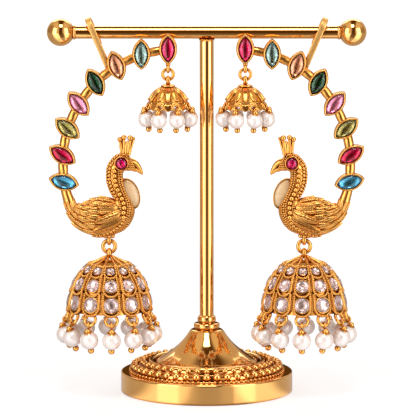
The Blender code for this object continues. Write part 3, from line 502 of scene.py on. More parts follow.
def copied(name, template, places):
    """Copies of a template, which is modelled at the origin, joined as one mesh.

    Each place is (x, y, z in millimetres, turn as a matrix or None, size as a number or three).
    """
    mesh = bpy.data.meshes.new(name)
    mesh.from_pydata([Vector(at) * MM for at, _, _ in places], [], [])
    turns = mesh.attributes.new("turn", "FLOAT_VECTOR", "POINT")
    sizes = mesh.attributes.new("size", "FLOAT_VECTOR", "POINT")
    for index, (_, turn, size) in enumerate(places):
        turns.data[index].vector = turn.to_euler() if turn is not None else (0, 0, 0)
        sizes.data[index].vector = size if isinstance(size, tuple) else (size, size, size)
    piece = added_piece(name, mesh)
    only(piece)
    modifier = piece.modifiers.new("copies", "NODES")
    modifier.node_group = COPIES_TREE
    modifier[PIECE_INPUT] = template
    bpy.ops.object.modifier_apply(modifier="copies")
    for used in ("turn", "size"):
        if piece.data.attributes.get(used):
            piece.data.attributes.remove(piece.data.attributes[used])
    return piece


def round_axis(count, radius, height, size, start=0.0):
    """Evenly spaced places round the stand's axis."""
    places = []
    for k in range(count):
        angle = math.tau * (k + start) / count
        places.append(((radius * math.cos(angle), radius * math.sin(angle), height), None, size))
    return places


def stand():
    base_profile = (
        (30.0, 0.0), (32.2, 0.0), (32.6, 0.25), (32.7, 0.7), (32.7, 1.0), (32.7, 7.05), (32.7, 7.35),
        (32.55, 7.7), (32.2, 7.88), (31.9, 7.9), (31.7, 7.9), (29.3, 7.9), (29.2, 8.2), (28.9, LOWER_STEP_TOP),
        (26.0, LOWER_STEP_TOP), (25.95, 10.3), (25.75, UPPER_STEP_TOP), (20.0, UPPER_STEP_TOP),
    )
    foot_profile = (
        (18.6, 10.8), (19.2, 10.85), (19.4, 11.2), (19.2, 11.75), (17.4, 12.9), (15.4, 14.25), (13.6, 15.4),
        (12.4, 16.4), (11.0, 17.6), (9.7, 18.9), (8.6, 20.2), (7.6, 21.5), (6.7, 22.9), (6.15, 23.6),
        (5.7, 23.85), (4.4, 23.9), (4.4, 24.15), (4.75, 24.3), (4.95, 24.7), (4.95, 25.7), (4.75, 26.1),
        (4.3, 26.3), (3.2, 26.4), (3.1, 26.65), (3.4, 26.85), (3.55, 27.3), (3.5, 28.2), (3.2, 28.75),
        (2.9, 29.1),
    )
    post_profile = (
        (2.5, 28.9), (2.66, 29.1), (2.66, 29.4), (2.66, 133.9), (2.66, 134.2), (2.72, 134.35), (2.95, 134.6),
        (3.0, 134.8), (2.6, 135.1), (1.2, 135.4),
    )
    end_collar = ((1.6, -50.7), (2.45, -50.6), (2.75, -50.3), (2.75, -49.8), (2.6, -49.55), (2.4, -49.5))
    bar_profile = (*end_collar, *[(radius, -along) for radius, along in reversed(end_collar)])
    base = turned("base_disc", base_profile, 128)
    seed, grain = bead("seed", 1.0, 20, 14), bead("grain", 1.0, 10, 6)
    rows = []
    for name, reach, radius, step_top in (
        ("lower_beads", 27.6, 1.45, LOWER_STEP_TOP), ("upper_beads", 24.4, 1.15, UPPER_STEP_TOP),
    ):
        beads = copied(name, seed, round_axis(44, reach, step_top + radius, radius))
        wire_z = step_top + radius * 0.4
        wire = reshaped(hoop("wire", reach, radius * 0.55, 96, 8), lambda p: (p.x, p.y, p.z + wire_z))
        rows.append(joined(name, beads, wire))
    edging = copied("scalloped_edging", grain, round_axis(88, 29.15, 8.25, 0.62, 0.5))
    inner = reshaped(hoop("inner_ring", 21.3, 1.0, 96, 14), lambda p: (p.x, p.y, p.z + UPPER_STEP_TOP + 1.0))
    foot = turned("foot", foot_profile, 96)
    post = turned("post", post_profile, 48)
    bar = reshaped(turned("crossbar", bar_profile, 48), lambda p: (p.z, p.y, BAR_Z - p.x))
    for piece, degrees, *nodes in (
        (base, 50, "stand_base_disc"), (rows[0], 40, "stand_lower_bead_ring"),
        (rows[1], 40, "stand_upper_bead_ring"), (edging, 40), (inner, 40, "stand_inner_ring"),
        (foot, 55, "stand_foot"), (post, 50, "stand_post"), (bar, 50, "stand_crossbar"),
    ):
        smooth(piece, degrees)
        stand_piece(piece, POLISHED, "polished_gold", *nodes)
    ball = bead("ball_finial", BALL_RADIUS, 48, 32)
    reshaped(ball, lambda p: (p.x - BALL_X, p.y, p.z / BEAD_FLATNESS + BAR_Z))
    smooth(ball)
    cuff_pair(ball, POLISHED, "polished_gold", ROOT, "end_ball")
    dropped(seed, grain)


def arc_place(angle, radius=ARC_RADIUS):
    """A point round the cuff's curve, as (x, z) in millimetres."""
    turn = math.radians(angle)
    return Vector((ARC_CENTRE[0] + radius * math.cos(turn), ARC_CENTRE[1] + radius * math.sin(turn)))


def smooth_row(rows, step):
    """A row between the rows of a table, on a smooth curve through them."""
    last = len(rows) - 1
    low = min(int(step), last - 1)
    share = step - low
    p0, p1, p2, p3 = (rows[min(max(k, 0), last)] for k in (low - 1, low, low + 1, low + 2))
    made = []
    for a, b, c, d in zip(p0, p1, p2, p3):
        slope = (c - a) / 2
        next_slope = (d - b) / 2
        cube = 2 * b - 2 * c + slope + next_slope
        square = -3 * b + 3 * c - 2 * slope - next_slope
        made.append(((cube * share + square) * share + slope) * share + b)
    return made


def pressed_marquise(x, y):
    """Presses a round outline of radius 1 into the pointed oval of a setting."""
    reach = math.hypot(x, y)
    half_length, half_width = HALF_SETTING
    arc = (half_length**2 + half_width**2) / (2 * half_width)
    offset = arc - half_width
    radius = arc - (1 - reach) * half_width
    limit = math.acos(min(1.0, offset / radius))
    angle = math.atan2(y, abs(x)) / (math.pi / 2) * limit
    return math.copysign(radius * math.cos(angle) - offset, x), radius * math.sin(angle)


def tilted(x, y, tilt):
    """Turns a place in the cuff's plane."""
    return x * math.cos(tilt) - y * math.sin(tilt), x * math.sin(tilt) + y * math.cos(tilt)


def in_setting(index):
    """A rule that takes a point modelled round, of radius 1, to one setting of the left cuff."""
    centre = arc_place(ARC_START + ARC_STEP * index)

    def shape(p):
        across, rise = tilted(*pressed_marquise(p.x, p.y), math.radians(STONE_TILTS[index]))
        return centre.x + across, BEZEL_BACK_Y - p.z, centre.y + rise

    return shape


def settings():
    """Eight pointed-oval settings: a body, a step, and a rounded rim that holds the stone."""
    profile = (
        (0.86, 0.0), (0.96, 0.05), (1.0, 0.35), (1.0, 1.75), (0.99, 1.95), (0.955, 2.05), (0.95, 2.55),
        (0.945, 2.95), (0.92, 3.25), (0.88, 3.40), (0.83, 3.42), (0.785, 3.30), (0.75, 3.05), (0.735, 2.6),
        (0.73, 1.2), (0.5, 1.1),
    )
    parts = []
    for index in range(len(STONE_NAMES)):
        parts.append(reshaped(turned("setting", profile, 64), in_setting(index)))
    made = joined("settings", *parts)
    smooth(made, 50)
    cuff_pair(made, SATIN, "antique_gold", ROOT, "cuff_frame")


def frame_tubes():
    """Tubes between the settings, and the longer tube that runs into the peacock's tail."""
    swells = ((0.27, 1.0), (0.38, 1.0), (0.42, 1.04), (0.5, 1.04), (0.58, 1.04), (0.62, 1.0), (0.73, 1.0))
    parts = []
    count = len(STONE_NAMES)
    for index in range(count - 1):
        start = arc_place(ARC_START + ARC_STEP * index)
        run = arc_place(ARC_START + ARC_STEP * (index + 1)) - start
        turn = math.degrees(math.atan2(run.y, run.x)) + 90
        thick = 1.68 + 0.03 * index
        sections = []
        for share, swell in swells:
            at = start + run * share
            sections.append((at.x, at.y, turn, thick * swell, thick * swell, CUFF_Y))
        parts.append(drawn("link", sections, 24))
    sections = []
    first = ARC_START + ARC_STEP * (count - 1) + 4.1
    steps = 12
    for k in range(steps + 1):
        angle = first + (ARC_END + 1.5 - first) * k / steps
        at = arc_place(angle)
        thick = 1.9 + 0.02 * k
        sections.append((at.x, at.y, angle, thick, thick, CUFF_Y))
    parts.append(drawn("tail_tube", sections, 24))
    made = joined("links", *parts)
    smooth(made, 50)
    cuff_pair(made, ANTIQUE, "antique_gold", ROOT, "cuff_frame")


def ear_hook():
    """A flat strip that rises behind the stones' line, bends over the bar and closes behind it."""
    foot = arc_place(HOOK_ARC_ANGLE)
    bend, rise, below, width, thick, steps = 3.3, 17.26, 0.5, 2.3, 1.2, 16
    start = (0, -bend * MM, -below * MM)
    deselect()
    bpy.ops.mesh.primitive_plane_add(size=MM, location=start, enter_editmode=True)
    bpy.ops.transform.resize(value=(width, thick, 1), center_override=start)

    def extend(y, z):
        bpy.ops.mesh.extrude_region_move(TRANSFORM_OT_translate={"value": (0, y * MM, z * MM)})

    extend(0, rise + below)
    for _ in range(steps):
        extend(0, 0)
        bpy.ops.transform.rotate(value=math.pi / steps, orient_axis="X", center_override=(0, 0, rise * MM))
    extend(0, -5.2)
    extend(-0.5, -2.2)
    face_out()
    strip = settle("ear_hook")
    only(strip)
    rounding = strip.modifiers.new("rounding", "BEVEL")
    rounding.width = 0.28 * MM
    rounding.segments = 3
    rounding.angle_limit = math.radians(40)
    bpy.ops.object.modifier_apply(modifier="rounding")

    def shape(p):
        x, z = tilted(p.x, p.z, HOOK_LEAN)
        return foot.x + x, p.y, foot.y + z

    reshaped(strip, shape)
    smooth(strip, 40)
    cuff_pair(strip, BRUSHED, "antique_gold", ROOT, "cuff_frame")


def edge_on_loop(x, y, z, radius, wire, breadth):
    """A loop seen edge on, in the plane across the cuff."""
    loop = hoop("loop", radius, wire, 28, 12)
    return reshaped(loop, lambda p: (x + p.z / HOOP_DEPTH * breadth, y + p.x, z + p.y))


def top_bail():
    """The strap below the first stone that the small jump ring hangs from."""
    loop = edge_on_loop(*SMALL_AXIS, 124.09, 1.32, 0.42, 1.45)
    stem = turned("stem", ((0.80, 124.9), (0.86, 125.3), (0.92, 126.2), (1.0, 127.2)), 20, SMALL_AXIS)
    made = joined("top_bail", loop, stem)
    smooth(made, 50)
    cuff_pair(made, ANTIQUE, "antique_gold", ROOT, "cuff_frame")


def cut_stone(name, rows, shape):
    """A faceted stone: rings of points pressed to shape, wrapped in flat facets.

    Each row is (points, radius, height, part of a step that it is turned by).
    """
    deselect()
    for index, (count, radius, height, part) in enumerate(rows):
        bpy.ops.mesh.primitive_circle_add(
            vertices=count, radius=radius * MM, fill_type="NOTHING", location=(0, 0, height * MM),
            rotation=(0, 0, math.tau / count * part), enter_editmode=index == 0,
        )
    stone = reshaped(settle(name), shape)
    bpy.ops.object.mode_set(mode="EDIT")
    bpy.ops.mesh.select_all(action="SELECT")
    bpy.ops.mesh.convex_hull(
        join_triangles=True, face_threshold=math.radians(3), shape_threshold=math.radians(60),
    )
    bpy.ops.mesh.select_all(action="SELECT")
    bpy.ops.mesh.normals_make_consistent(inside=False)
    bpy.ops.object.mode_set(mode="OBJECT")
    return stone


def open_up(piece, picked):
    """Deletes the faces that a rule picks, and stays in edit mode."""
    only(piece)
    bpy.ops.object.mode_set(mode="EDIT")
    bpy.ops.mesh.select_all(action="DESELECT")
    bpy.ops.object.mode_set(mode="OBJECT")
    for face in piece.data.polygons:
        face.select = picked(face)
    bpy.ops.object.mode_set(mode="EDIT")
    bpy.ops.mesh.delete(type="ONLY_FACE")


def foiled_stone(name, kind, crown, foil, shape, outward):
    """A clear crown over an open cup of foil. Outward tells how far out of its setting a place lies."""
    glass = dress(cut_stone("glass", crown, shape), GLASS[kind])
    cup = cut_stone("foil", foil, shape)
    rim = max(outward(face.center) for face in cup.data.polygons)
    open_up(cup, lambda face: outward(face.center) > rim - 0.01 * MM)
    bpy.ops.mesh.select_all(action="SELECT")
    bpy.ops.mesh.flip_normals()
    bpy.ops.object.mode_set(mode="OBJECT")
    return joined(name, glass, dress(cup, FOIL[kind]))


def marquise_stones():
    """A low clear crown over a dished foil, in each setting of the curve."""
    crown = (
        (8, 0.16, 4.0, 0.0), (12, 0.36, 3.86, 0.5), (16, 0.56, 3.55, 0.0), (24, 0.72, 3.10, 0.0),
        (24, 0.72, 2.95, 0.0), (12, 0.3, 2.72, 0.0),
    )
    foil = ((24, 0.725, 2.90, 0.0), (16, 0.58, 2.35, 0.5), (12, 0.34, 1.95, 0.0), (8, 0.10, 1.80, 0.5))
    for index, kind in enumerate(STONE_NAMES):
        node = "stone_%d_%s" % (index + 1, kind)
        made = foiled_stone(node + "_cut", kind, crown, foil, in_setting(index), lambda at: -at.y)
        smooth(made, 62)
        slot = "ruby_glass" if kind in ("ruby", "red") else kind + "_glass"
        cuff_pair(made, None, slot, ROOT, node)


# The peacock from the tail ring to the forehead, as shares of its size from the end of the curve:
# back x, back z, breast x, breast z, half depth
BIRD_ROWS = (
    (0.0538, 0.0175, -0.0538, -0.0175, 0.0550),
    (0.086, -0.061, -0.016, -0.129, 0.063),
    (0.152, -0.066, 0.044, -0.235, 0.079),
    (0.218, -0.037, 0.131, -0.319, 0.097),
    (0.292, -0.011, 0.236, -0.372, 0.111),
    (0.368, -0.006, 0.342, -0.387, 0.116),
    (0.455, -0.014, 0.552, -0.327, 0.105),
    (0.460, -0.003, 0.631, -0.251, 0.097),
    (0.457, 0.006, 0.668, -0.143, 0.089),
    (0.444, 0.030, 0.652, -0.053, 0.084),
    (0.418, 0.086, 0.594, 0.063, 0.079),
    (0.397, 0.158, 0.560, 0.155, 0.076),
    (0.392, 0.240, 0.553, 0.245, 0.076),
    (0.405, 0.318, 0.578, 0.273, 0.082),
    (0.442, 0.378, 0.621, 0.281, 0.082),
    (0.499, 0.426, 0.649, 0.278, 0.076),
    (0.573, 0.440, 0.671, 0.268, 0.063),
    (0.630, 0.400, 0.680, 0.290, 0.045),
)
TAIL = arc_place(ARC_END)


def bird_skin(step, angle, rise=0.0):
    """A point on the peacock's skin. Angle 0 is the breast, 90 the side seen, 180 the back."""
    tail = Vector((TAIL.x, CUFF_Y, TAIL.y))

    def breadth(step):
        back_x, back_z, front_x, front_z, depth = smooth_row(BIRD_ROWS, step)
        middle = Vector(((back_x + front_x) / 2, 0, (back_z + front_z) / 2))
        half = Vector(((front_x - back_x) / 2, 0, (front_z - back_z) / 2))
        return middle, half, Vector((0, depth, 0))

    def at(step, angle):
        middle, half, depth = breadth(step)
        turn = math.radians(angle)
        return tail + (middle + half * math.cos(turn) - depth * math.sin(turn)) * BIRD_SIZE

    place = at(step, angle)
    ahead = at(min(step + 0.05, len(BIRD_ROWS) - 1), angle) - at(max(step - 0.05, 0), angle)
    out = ahead.cross(at(step, angle + 2) - at(step, angle - 2))
    if out.length < 1e-9:
        return place
    out.normalize()
    if out.dot(place - tail - breadth(step)[0] * BIRD_SIZE) < 0:
        out = -out
    return place + out * rise


def girth(step):
    """Millimetres round the skin for one degree, at one step of the table."""
    back_x, back_z, front_x, front_z, depth = smooth_row(BIRD_ROWS, step)
    wide = math.hypot(front_x - back_x, front_z - back_z) / 2
    return math.radians(1) * BIRD_SIZE * math.sqrt((wide**2 + depth**2) / 2)


def bird_body():
    sections = []
    steps = 68
    for k in range(steps + 1):
        row = smooth_row(BIRD_ROWS, (len(BIRD_ROWS) - 1) * k / steps)
        back = Vector((row[0], row[1])) * BIRD_SIZE
        front = Vector((row[2], row[3])) * BIRD_SIZE
        middle = TAIL + (back + front) / 2
        half = (front - back) / 2
        turn = math.degrees(math.atan2(half.y, half.x))
        sections.append((middle.x, middle.y, turn, half.length, row[4] * BIRD_SIZE, CUFF_Y))
    body = drawn("body", sections, 28)
    smooth(body, 60)
    return body


def leaf_grid(along, across):
    deselect()
    bpy.ops.mesh.primitive_grid_add(x_subdivisions=along, y_subdivisions=across, size=2 * MM)
    return settle("leaf_grid")


def face_leaves(piece):
    only(piece)
    bpy.ops.object.mode_set(mode="EDIT")
    face_out()
    bpy.ops.object.mode_set(mode="OBJECT")


def laid_leaf(grid, start, end, width, lift, ridges, skin, scale):
    """One grooved leaf laid on a skin from its root to its tip. Both are (step, angle)."""
    def shape(p):
        along, across = (p.x + 1) / 2, p.y
        step = start[0] + (end[0] - start[0]) * along
        angle = start[1] + (end[1] - start[1]) * along
        wide = width / 2 * min(1.0, 0.40 + along * 1.5) * max(0.0, 1 - along**3.2) ** 0.75
        crown = math.sqrt(max(0.0, 1 - across**2))
        ridge = math.sqrt(abs(math.sin(across * math.pi * ridges))) * crown
        rise = lift * ((0.3 + 0.7 * along) * crown * 0.6 + 0.26 * ridge + 0.6 * along) - 0.15
        if abs(across) > 0.999:
            rise = -0.25
        return skin(step, angle + across * wide / scale(step), rise)

    return reshaped(added_piece("leaf", grid.data.copy()), shape)


def feathers():
    """Overlapping feathers in rows toward the tail, and three large ones that fan from the neck."""
    small, large = leaf_grid(8, 12), leaf_grid(10, 18)
    leaves = []
    rows = (
        (2.0, 0.35, 5, 0.35), (3.0, 1.15, 6, 0.65), (4.05, 2.05, 7, 0.90), (5.1, 3.05, 7, 0.95),
        (6.2, 4.2, 8, 0.95),
    )
    for number, (root, tip, count, lift) in enumerate(rows):
        width = girth((root + tip) / 2) * 180 / count * 1.12
        for k in range(count * 2):
            angle = (k + 0.5 * (number % 2)) * 180 / count
            on_breast = abs((angle + 180) % 360 - 180) < 38
            if root < 4.5 or not on_breast:
                leaves.append(laid_leaf(small, (root, angle), (tip, angle), width, lift, 1.0, bird_skin, girth))
    for side in (1, -1):
        for root, root_angle, tip, tip_angle, width in (
            (6.45, 80, 4.05, 53, 3.3), (6.60, 103, 4.10, 80, 3.3), (6.60, 126, 4.20, 127, 3.4),
        ):
            start, end = (root, root_angle * side), (tip, tip_angle * side)
            leaves.append(laid_leaf(large, start, end, width, 1.45, 2.0, bird_skin, girth))
    dropped(small, large)
    made = joined("feathers", *leaves)
    face_leaves(made)
    smooth(made, 80)
    return made


def granules():
    """Rows of beads up the neck, over the head, down the chest and along the belly."""
    middle_line = (
        (4.0, 14), (4.8, 24), (5.5, 40), (6.3, 66), (7.0, 84), (8.0, 92), (10.0, 92), (12.0, 94), (13.4, 108),
    )
    small_places, large_places = [], []

    def line_angle(step):
        for (s0, a0), (s1, a1) in zip(middle_line, middle_line[1:]):
            if step <= s1:
                return a0 + (a1 - a0) * max(0.0, (step - s0) / (s1 - s0))
        return middle_line[-1][1]

    def on_both_sides(place, radius, into):
        for y in (place.y, 2 * CUFF_Y - place.y):
            into.append(((place.x, y, place.z), None, radius))

    def string(first, last, offset, radius, into):
        step, previous = first, None
        while step < last:
            place = bird_skin(step, line_angle(step) + offset / girth(step), radius * 0.25)
            if previous is None or (place - previous).length >= radius * 1.85:
                on_both_sides(place, radius, into)
                previous = place
            step += 0.01

    string(6.6, 13.3, 0.0, 0.98, large_places)
    string(4.2, 6.6, 0.0, 0.74, large_places)
    for offset, radius, first, last in (
        (1.45, 0.42, 6.6, 8.6), (2.2, 0.42, 7.0, 8.8), (1.95, 0.72, 8.8, 13.4), (3.35, 0.60, 8.6, 15.4),
        (4.5, 0.50, 8.8, 15.0), (2.0, 0.50, 13.4, 15.0), (-1.5, 0.46, 4.6, 13.6), (-2.4, 0.50, 4.4, 13.0),
        (-3.3, 0.44, 5.0, 9.2), (1.05, 0.44, 4.4, 6.4), (-0.95, 0.50, 4.2, 6.6),
    ):
        string(first, last, offset, radius, small_places)
    for step in (13.6, 14.0, 14.4, 14.8, 15.2, 15.6, 16.0, 16.4):
        for angle in range(10, 180, 14):
            shifted = angle + 7 * (int(step * 5) % 2)
            on_both_sides(bird_skin(step, shifted, 0.05), 0.38, small_places)
    small = bead("small_bead", 1.0, 10, 7)
    large = bead("large_bead", 1.0, 16, 10)
    made = joined("granules", copied("small", small, small_places), copied("large", large, large_places))
    dropped(small, large)
    smooth(made)
    return made


def beak():
    """Two mandibles with a dark gap between them."""
    upper = (
        (-29.2, 88.6, 84, 1.65, 2.0), (-27.5, 88.3, 70, 1.32, 1.6), (-26.1, 87.2, 45, 1.0, 1.25),
        (-25.2, 85.8, 30, 0.82, 0.95), (-24.6, 84.4, 24, 0.58, 0.65), (-24.35, 83.65, 22, 0.22, 0.3),
    )
    lower = (
        (-29.8, 86.6, 86, 1.30, 1.75), (-28.5, 86.4, 80, 1.02, 1.4), (-27.2, 85.95, 70, 0.82, 1.1),
        (-26.1, 85.3, 58, 0.66, 0.85), (-25.2, 84.5, 50, 0.48, 0.6), (-24.65, 83.95, 45, 0.2, 0.3),
    )
    parts = []
    for rows in (upper, lower):
        sections = [(*smooth_row(rows, k / 4), CUFF_Y) for k in range((len(rows) - 1) * 4 + 1)]
        parts.append(drawn("mandible", sections, 18))
    made = joined("beak", *parts)
    smooth(made, 60)
    return made


def crest():
    """Four tapering prongs with balls on them."""
    prongs = (
        (-32.0, 91.2, -32.85, 96.9, 0.0, 1.0), (-31.2, 91.3, -31.28, 97.7, -0.5, 1.03),
        (-29.65, 91.3, -28.95, 97.5, -0.4, 1.12), (-29.5, 91.3, -27.7, 97.1, 1.2, 0.72),
        (-31.0, 91.3, -31.9, 97.2, 1.4, 0.8),
    )
    profile = ((0.0, 0.80), (0.15, 0.70), (0.4, 0.62), (0.7, 0.60), (0.88, 0.55), (0.95, 0.5))
    parts, balls = [], []
    for foot_x, foot_z, tip_x, tip_z, depth, size in prongs:
        turn = math.degrees(math.atan2(tip_z - foot_z, tip_x - foot_x)) - 90
        sections = []
        for share, wide in profile:
            x = foot_x + (tip_x - foot_x) * share
            z = foot_z + (tip_z - foot_z) * share
            sections.append((x, z, turn, wide, wide * 0.9, CUFF_Y + depth * share))
        parts.append(drawn("prong", sections, 16))
        balls.append(((tip_x, CUFF_Y + depth, tip_z + 0.25), None, size))
        balls.append(((foot_x, CUFF_Y - 1.4, foot_z + 0.1), None, 0.42))
    wedge = (
        (-30.5, 91.2, 0.5), (-30.35, 93.0, 0.62), (-30.2, 94.8, 0.80), (-30.12, 96.0, 0.55), (-30.1, 96.9, 0.12),
    )
    web = ((-30.75, 91.0, 1.6), (-30.7, 93.0, 1.75), (-30.6, 95.2, 2.1), (-30.6, 95.6, 1.9))
    for name, rows, deep, y, sides in (
        ("wedge", wedge, 0.5, CUFF_Y - 0.35, 16), ("web", web, 0.3, CUFF_Y + 0.2, 24),
    ):
        parts.append(drawn(name, [(x, z, 0, wide, deep, y) for x, z, wide in rows], sides))
    ball = bead("ball", 1.0, 18, 12)
    made = joined("crest", *parts, copied("balls", ball, balls))
    dropped(ball)
    smooth(made, 60)
    return made


def facing(x, z):
    """A rule that turns a piece modelled on +Z toward the viewer, at a place on the cuff."""
    return lambda p: (x + p.x, CUFF_Y - p.z, z + p.y)


def eye():
    """The ruby eye over its foil. Its rim is given back, for the peacock's body."""
    rim_profile = (
        (2.3, 0.6), (2.77, 0.7), (2.77, 3.8), (2.72, 4.1), (2.55, 4.3), (2.38, 4.3), (2.22, 4.1), (2.12, 3.8),
        (2.12, 3.2), (1.0, 3.15),
    )
    foil_profile = (
        (0.3, 3.30), (1.0, 3.38), (1.6, 3.60), (1.98, 3.84), (1.94, 3.87), (1.55, 3.64), (0.95, 3.42),
        (0.3, 3.34),
    )
    dome = bead("eye_dome", 2.12, 40, 28)
    reshaped(dome, lambda p: (p.x * 0.985, p.y * 0.985, 3.9 + p.z * (0.50 if p.z > 0 else 0.30)))
    cup = turned("eye_foil", foil_profile, 32)
    stone = joined("eye_cabochon", dress(dome, GLASS["ruby"]), dress(cup, FOIL["ruby"]))
    smooth(reshaped(stone, facing(*EYE_PLACE)), 60)
    cuff_pair(stone, None, "ruby_glass", ROOT, "eye_stone")
    rim = reshaped(turned("eye_rim", rim_profile, 40), facing(*EYE_PLACE))
    smooth(rim, 50)
    return rim


def moonstone():
    """The oval cabochon on the breast. Its rim is given back, for the peacock's body."""
    def shape(p):
        across, rise = tilted(p.x * 3.42, p.y * 5.55, MOONSTONE_TILT)
        return MOONSTONE_PLACE[0] + across, -3.3 - p.z, MOONSTONE_PLACE[1] + rise

    stone = bead("moonstone_cabochon", 1.0, 48, 32)
    reshaped(stone, lambda p: (p.x, p.y, 0.7 + p.z * 1.75 if p.z > 0 else max(0.05, 0.7 + p.z * 2)))
    smooth(reshaped(stone, shape), 60)
    cuff_pair(stone, MOONSTONE, "moonstone", ROOT, "moonstone")
    profile = (
        (0.9, -0.55), (1.09, -0.5), (1.12, -0.2), (1.12, 0.7), (1.10, 0.95), (1.06, 1.0), (1.025, 0.9),
        (1.02, 0.0), (0.8, -0.05),
    )
    rim = reshaped(turned("moonstone_rim", profile, 64), shape)
    smooth(rim, 50)
    return rim


def peacock():
    x, y = LARGE_AXIS
    belly = (
        (-1.40, -0.7, 60.25, 0.92), (1.40, -0.6, 60.4, 0.92), (0.0, -1.2, 60.3, 0.75), (0.1, 0.2, 61.4, 0.9),
        (-1.3, 1.0, 60.5, 0.8), (1.3, 1.0, 60.6, 0.8),
    )
    ball = bead("ball", 1.0, 18, 12)
    beads = copied("belly_beads", ball, [((x + dx, y + dy, z), None, size) for dx, dy, z, size in belly])
    dropped(ball)
    smooth(beads)
    bail = edge_on_loop(x, y, 58.71, 1.5, 0.5, 1.5)
    body = joined("peacock_body", bird_body(), bail, eye(), moonstone(), beak(), crest())
    smooth(body, 50)
    cuff_pair(body, ANTIQUE, "antique_gold", ROOT, "peacock")
    cuff_pair(feathers(), FEATHERED, "antique_gold", ROOT)
    cuff_pair(joined("peacock_beading", granules(), beads), BEADED, "antique_gold", ROOT)


# Rows of the large bell from the top: radius and z of its top and foot, bulge, stone width and height,
# distance of the stone down from the top edge, width of the gap between frames
BellRow = namedtuple(
    "BellRow", "top_radius top_z low_radius low_z bulge stone_width stone_height stone_down rib",
)
BELL_ROWS = (
    BellRow(7.3, 49.3, 11.2, 45.3, 0.20, 3.6, 3.4, 2.5, 0.4),
    BellRow(10.5, 46.2, 14.4, 38.9, 0.40, 5.2, 4.9, 4.2, 1.3),
    BellRow(13.7, 39.9, 15.5, 31.7, 0.30, 5.6, 5.7, 4.25, 1.4),
)
COLUMNS = 12


def bell_angle(column):
    return math.radians(-90 + 4 + 360 * column / COLUMNS)


def slope_length(row):
    return math.hypot(row.low_radius - row.top_radius, row.top_z - row.low_z)


def on_row(row, column, across, down, rise=0.0):
    """A point on one column of a bell's row: across and down its slope, out from it by rise."""
    slope = slope_length(row)
    share = down / slope
    widening, drop = row.low_radius - row.top_radius, row.top_z - row.low_z
    swell = row.bulge * math.sin(math.pi * min(max(share, 0), 1)) + rise
    radius = row.top_radius + widening * share + drop / slope * swell
    height = row.top_z - drop * share + widening / slope * swell
    angle = bell_angle(column) + across / radius
    return Vector((LARGE_AXIS[0] + radius * math.cos(angle), LARGE_AXIS[1] + radius * math.sin(angle), height))


def panel_edge(row, down):
    """Half the width of a whole column at a distance down its slope."""
    radius = row.top_radius + (row.low_radius - row.top_radius) * down / slope_length(row)
    return math.pi * radius / COLUMNS


def half_panel(row, down):
    """Half the width of a column's frame at a distance down its slope, with a round foot."""
    half = panel_edge(row, down) - row.rib / 2
    slope = slope_length(row)
    foot = min(half, slope * 0.55)
    below = down - (slope - foot)
    if below > 0:
        half *= math.sqrt(max(0.0, 1 - (below / foot) ** 2))
    return half


def frame_path(row):
    """The U-shaped path of one column's frame, as (across, down) pairs a fixed step apart."""
    slope = slope_length(row)
    side = []
    for k in range(200):
        down = slope * k / 199
        side.append((half_panel(row, down), down))
    whole = [(-a, d) for a, d in side] + [(a, d) for a, d in reversed(side)]
    path = [whole[0]]
    travelled = 0.0
    total = sum(math.dist(a, b) for a, b in zip(whole, whole[1:]))
    count = round(total / 0.80)
    step = total / count
    for a, b in zip(whole, whole[1:]):
        length = math.dist(a, b)
        while length > 0 and travelled + length >= step * len(path) - 1e-9 and len(path) <= count:
            share = (step * len(path) - travelled) / length
            path.append((a[0] + (b[0] - a[0]) * share, a[1] + (b[1] - a[1]) * share))
        travelled += length
    return path


def wire_along(name, points, radius, sides=8):
    """A round wire along points given in millimetres."""
    curve = bpy.data.curves.new(name, "CURVE")
    curve.dimensions = "3D"
    curve.bevel_depth = radius * MM
    curve.bevel_resolution = max(0, sides // 2 - 2)
    curve.use_fill_caps = True
    spline = curve.splines.new("POLY")
    spline.points.add(len(points) - 1)
    for point, place in zip(spline.points, points):
        point.co = (*(Vector(place) * MM), 1)
    only(added_piece(name, curve))
    bpy.ops.object.convert(target="MESH")
    return bpy.context.active_object


def about_bell(row, column, down):
    """Axes at the middle of a column: across, up the slope and outwards, as a turn."""
    here = on_row(row, column, 0.0, down)
    side = (on_row(row, column, 0.1, down) - here).normalized()
    up = (here - on_row(row, column, 0.0, down + 0.1)).normalized()
    out = side.cross(up).normalized()
    return turn_of(side, out.cross(side), out)


def bell_plates():
    """A thin plate behind the opening of each frame."""
    grid = leaf_grid(10, 8)
    plates = []
    for row in BELL_ROWS:
        for column in range(COLUMNS):
            def shape(p):
                down = (1 - p.x) / 2 * slope_length(row) * 0.985
                return on_row(row, column, p.y * half_panel(row, down), down, -0.40)

            plates.append(reshaped(added_piece("plate", grid.data.copy()), shape))
    dropped(grid)
    made = joined("plates", *plates)
    only(made)
    made.modifiers.new("thickness", "SOLIDIFY").thickness = 0.35 * MM
    bpy.ops.object.modifier_apply(modifier="thickness")
    return made


def bell_frames():
    """Wire frames with beads along them, in their upper corners and down the gaps between them."""
    wires, beads = [], []
    for row in BELL_ROWS:
        path = frame_path(row)
        corner = panel_edge(row, 0) - row.rib / 2
        for column in range(COLUMNS):
            wires.append(wire_along("frame", [on_row(row, column, a, d, 0.40) for a, d in path], 0.52))
            beads += [(on_row(row, column, a, d, 0.74), None, 0.44) for a, d in path]
            for side in (-1, 1):
                for inset, down, radius in ((0.95, 0.65, 0.42), (0.55, 1.25, 0.30)):
                    beads.append((on_row(row, column, side * (corner - inset), down, 0.25), None, radius))
            if row.rib < 1:
                continue
            for k in range(int(slope_length(row) * 0.72 / 0.62)):
                down = 0.3 + k * 0.62
                beads.append((on_row(row, column, panel_edge(row, down), down, 0.20), None, 0.30))
            for side in (-0.36, 0.36):
                points = []
                for k in range(9):
                    down = slope_length(row) * 0.74 * k / 8
                    points.append(on_row(row, column, panel_edge(row, down) + side, down, 0.05))
                wires.append(wire_along("rib", points, 0.32))
    return wires, beads


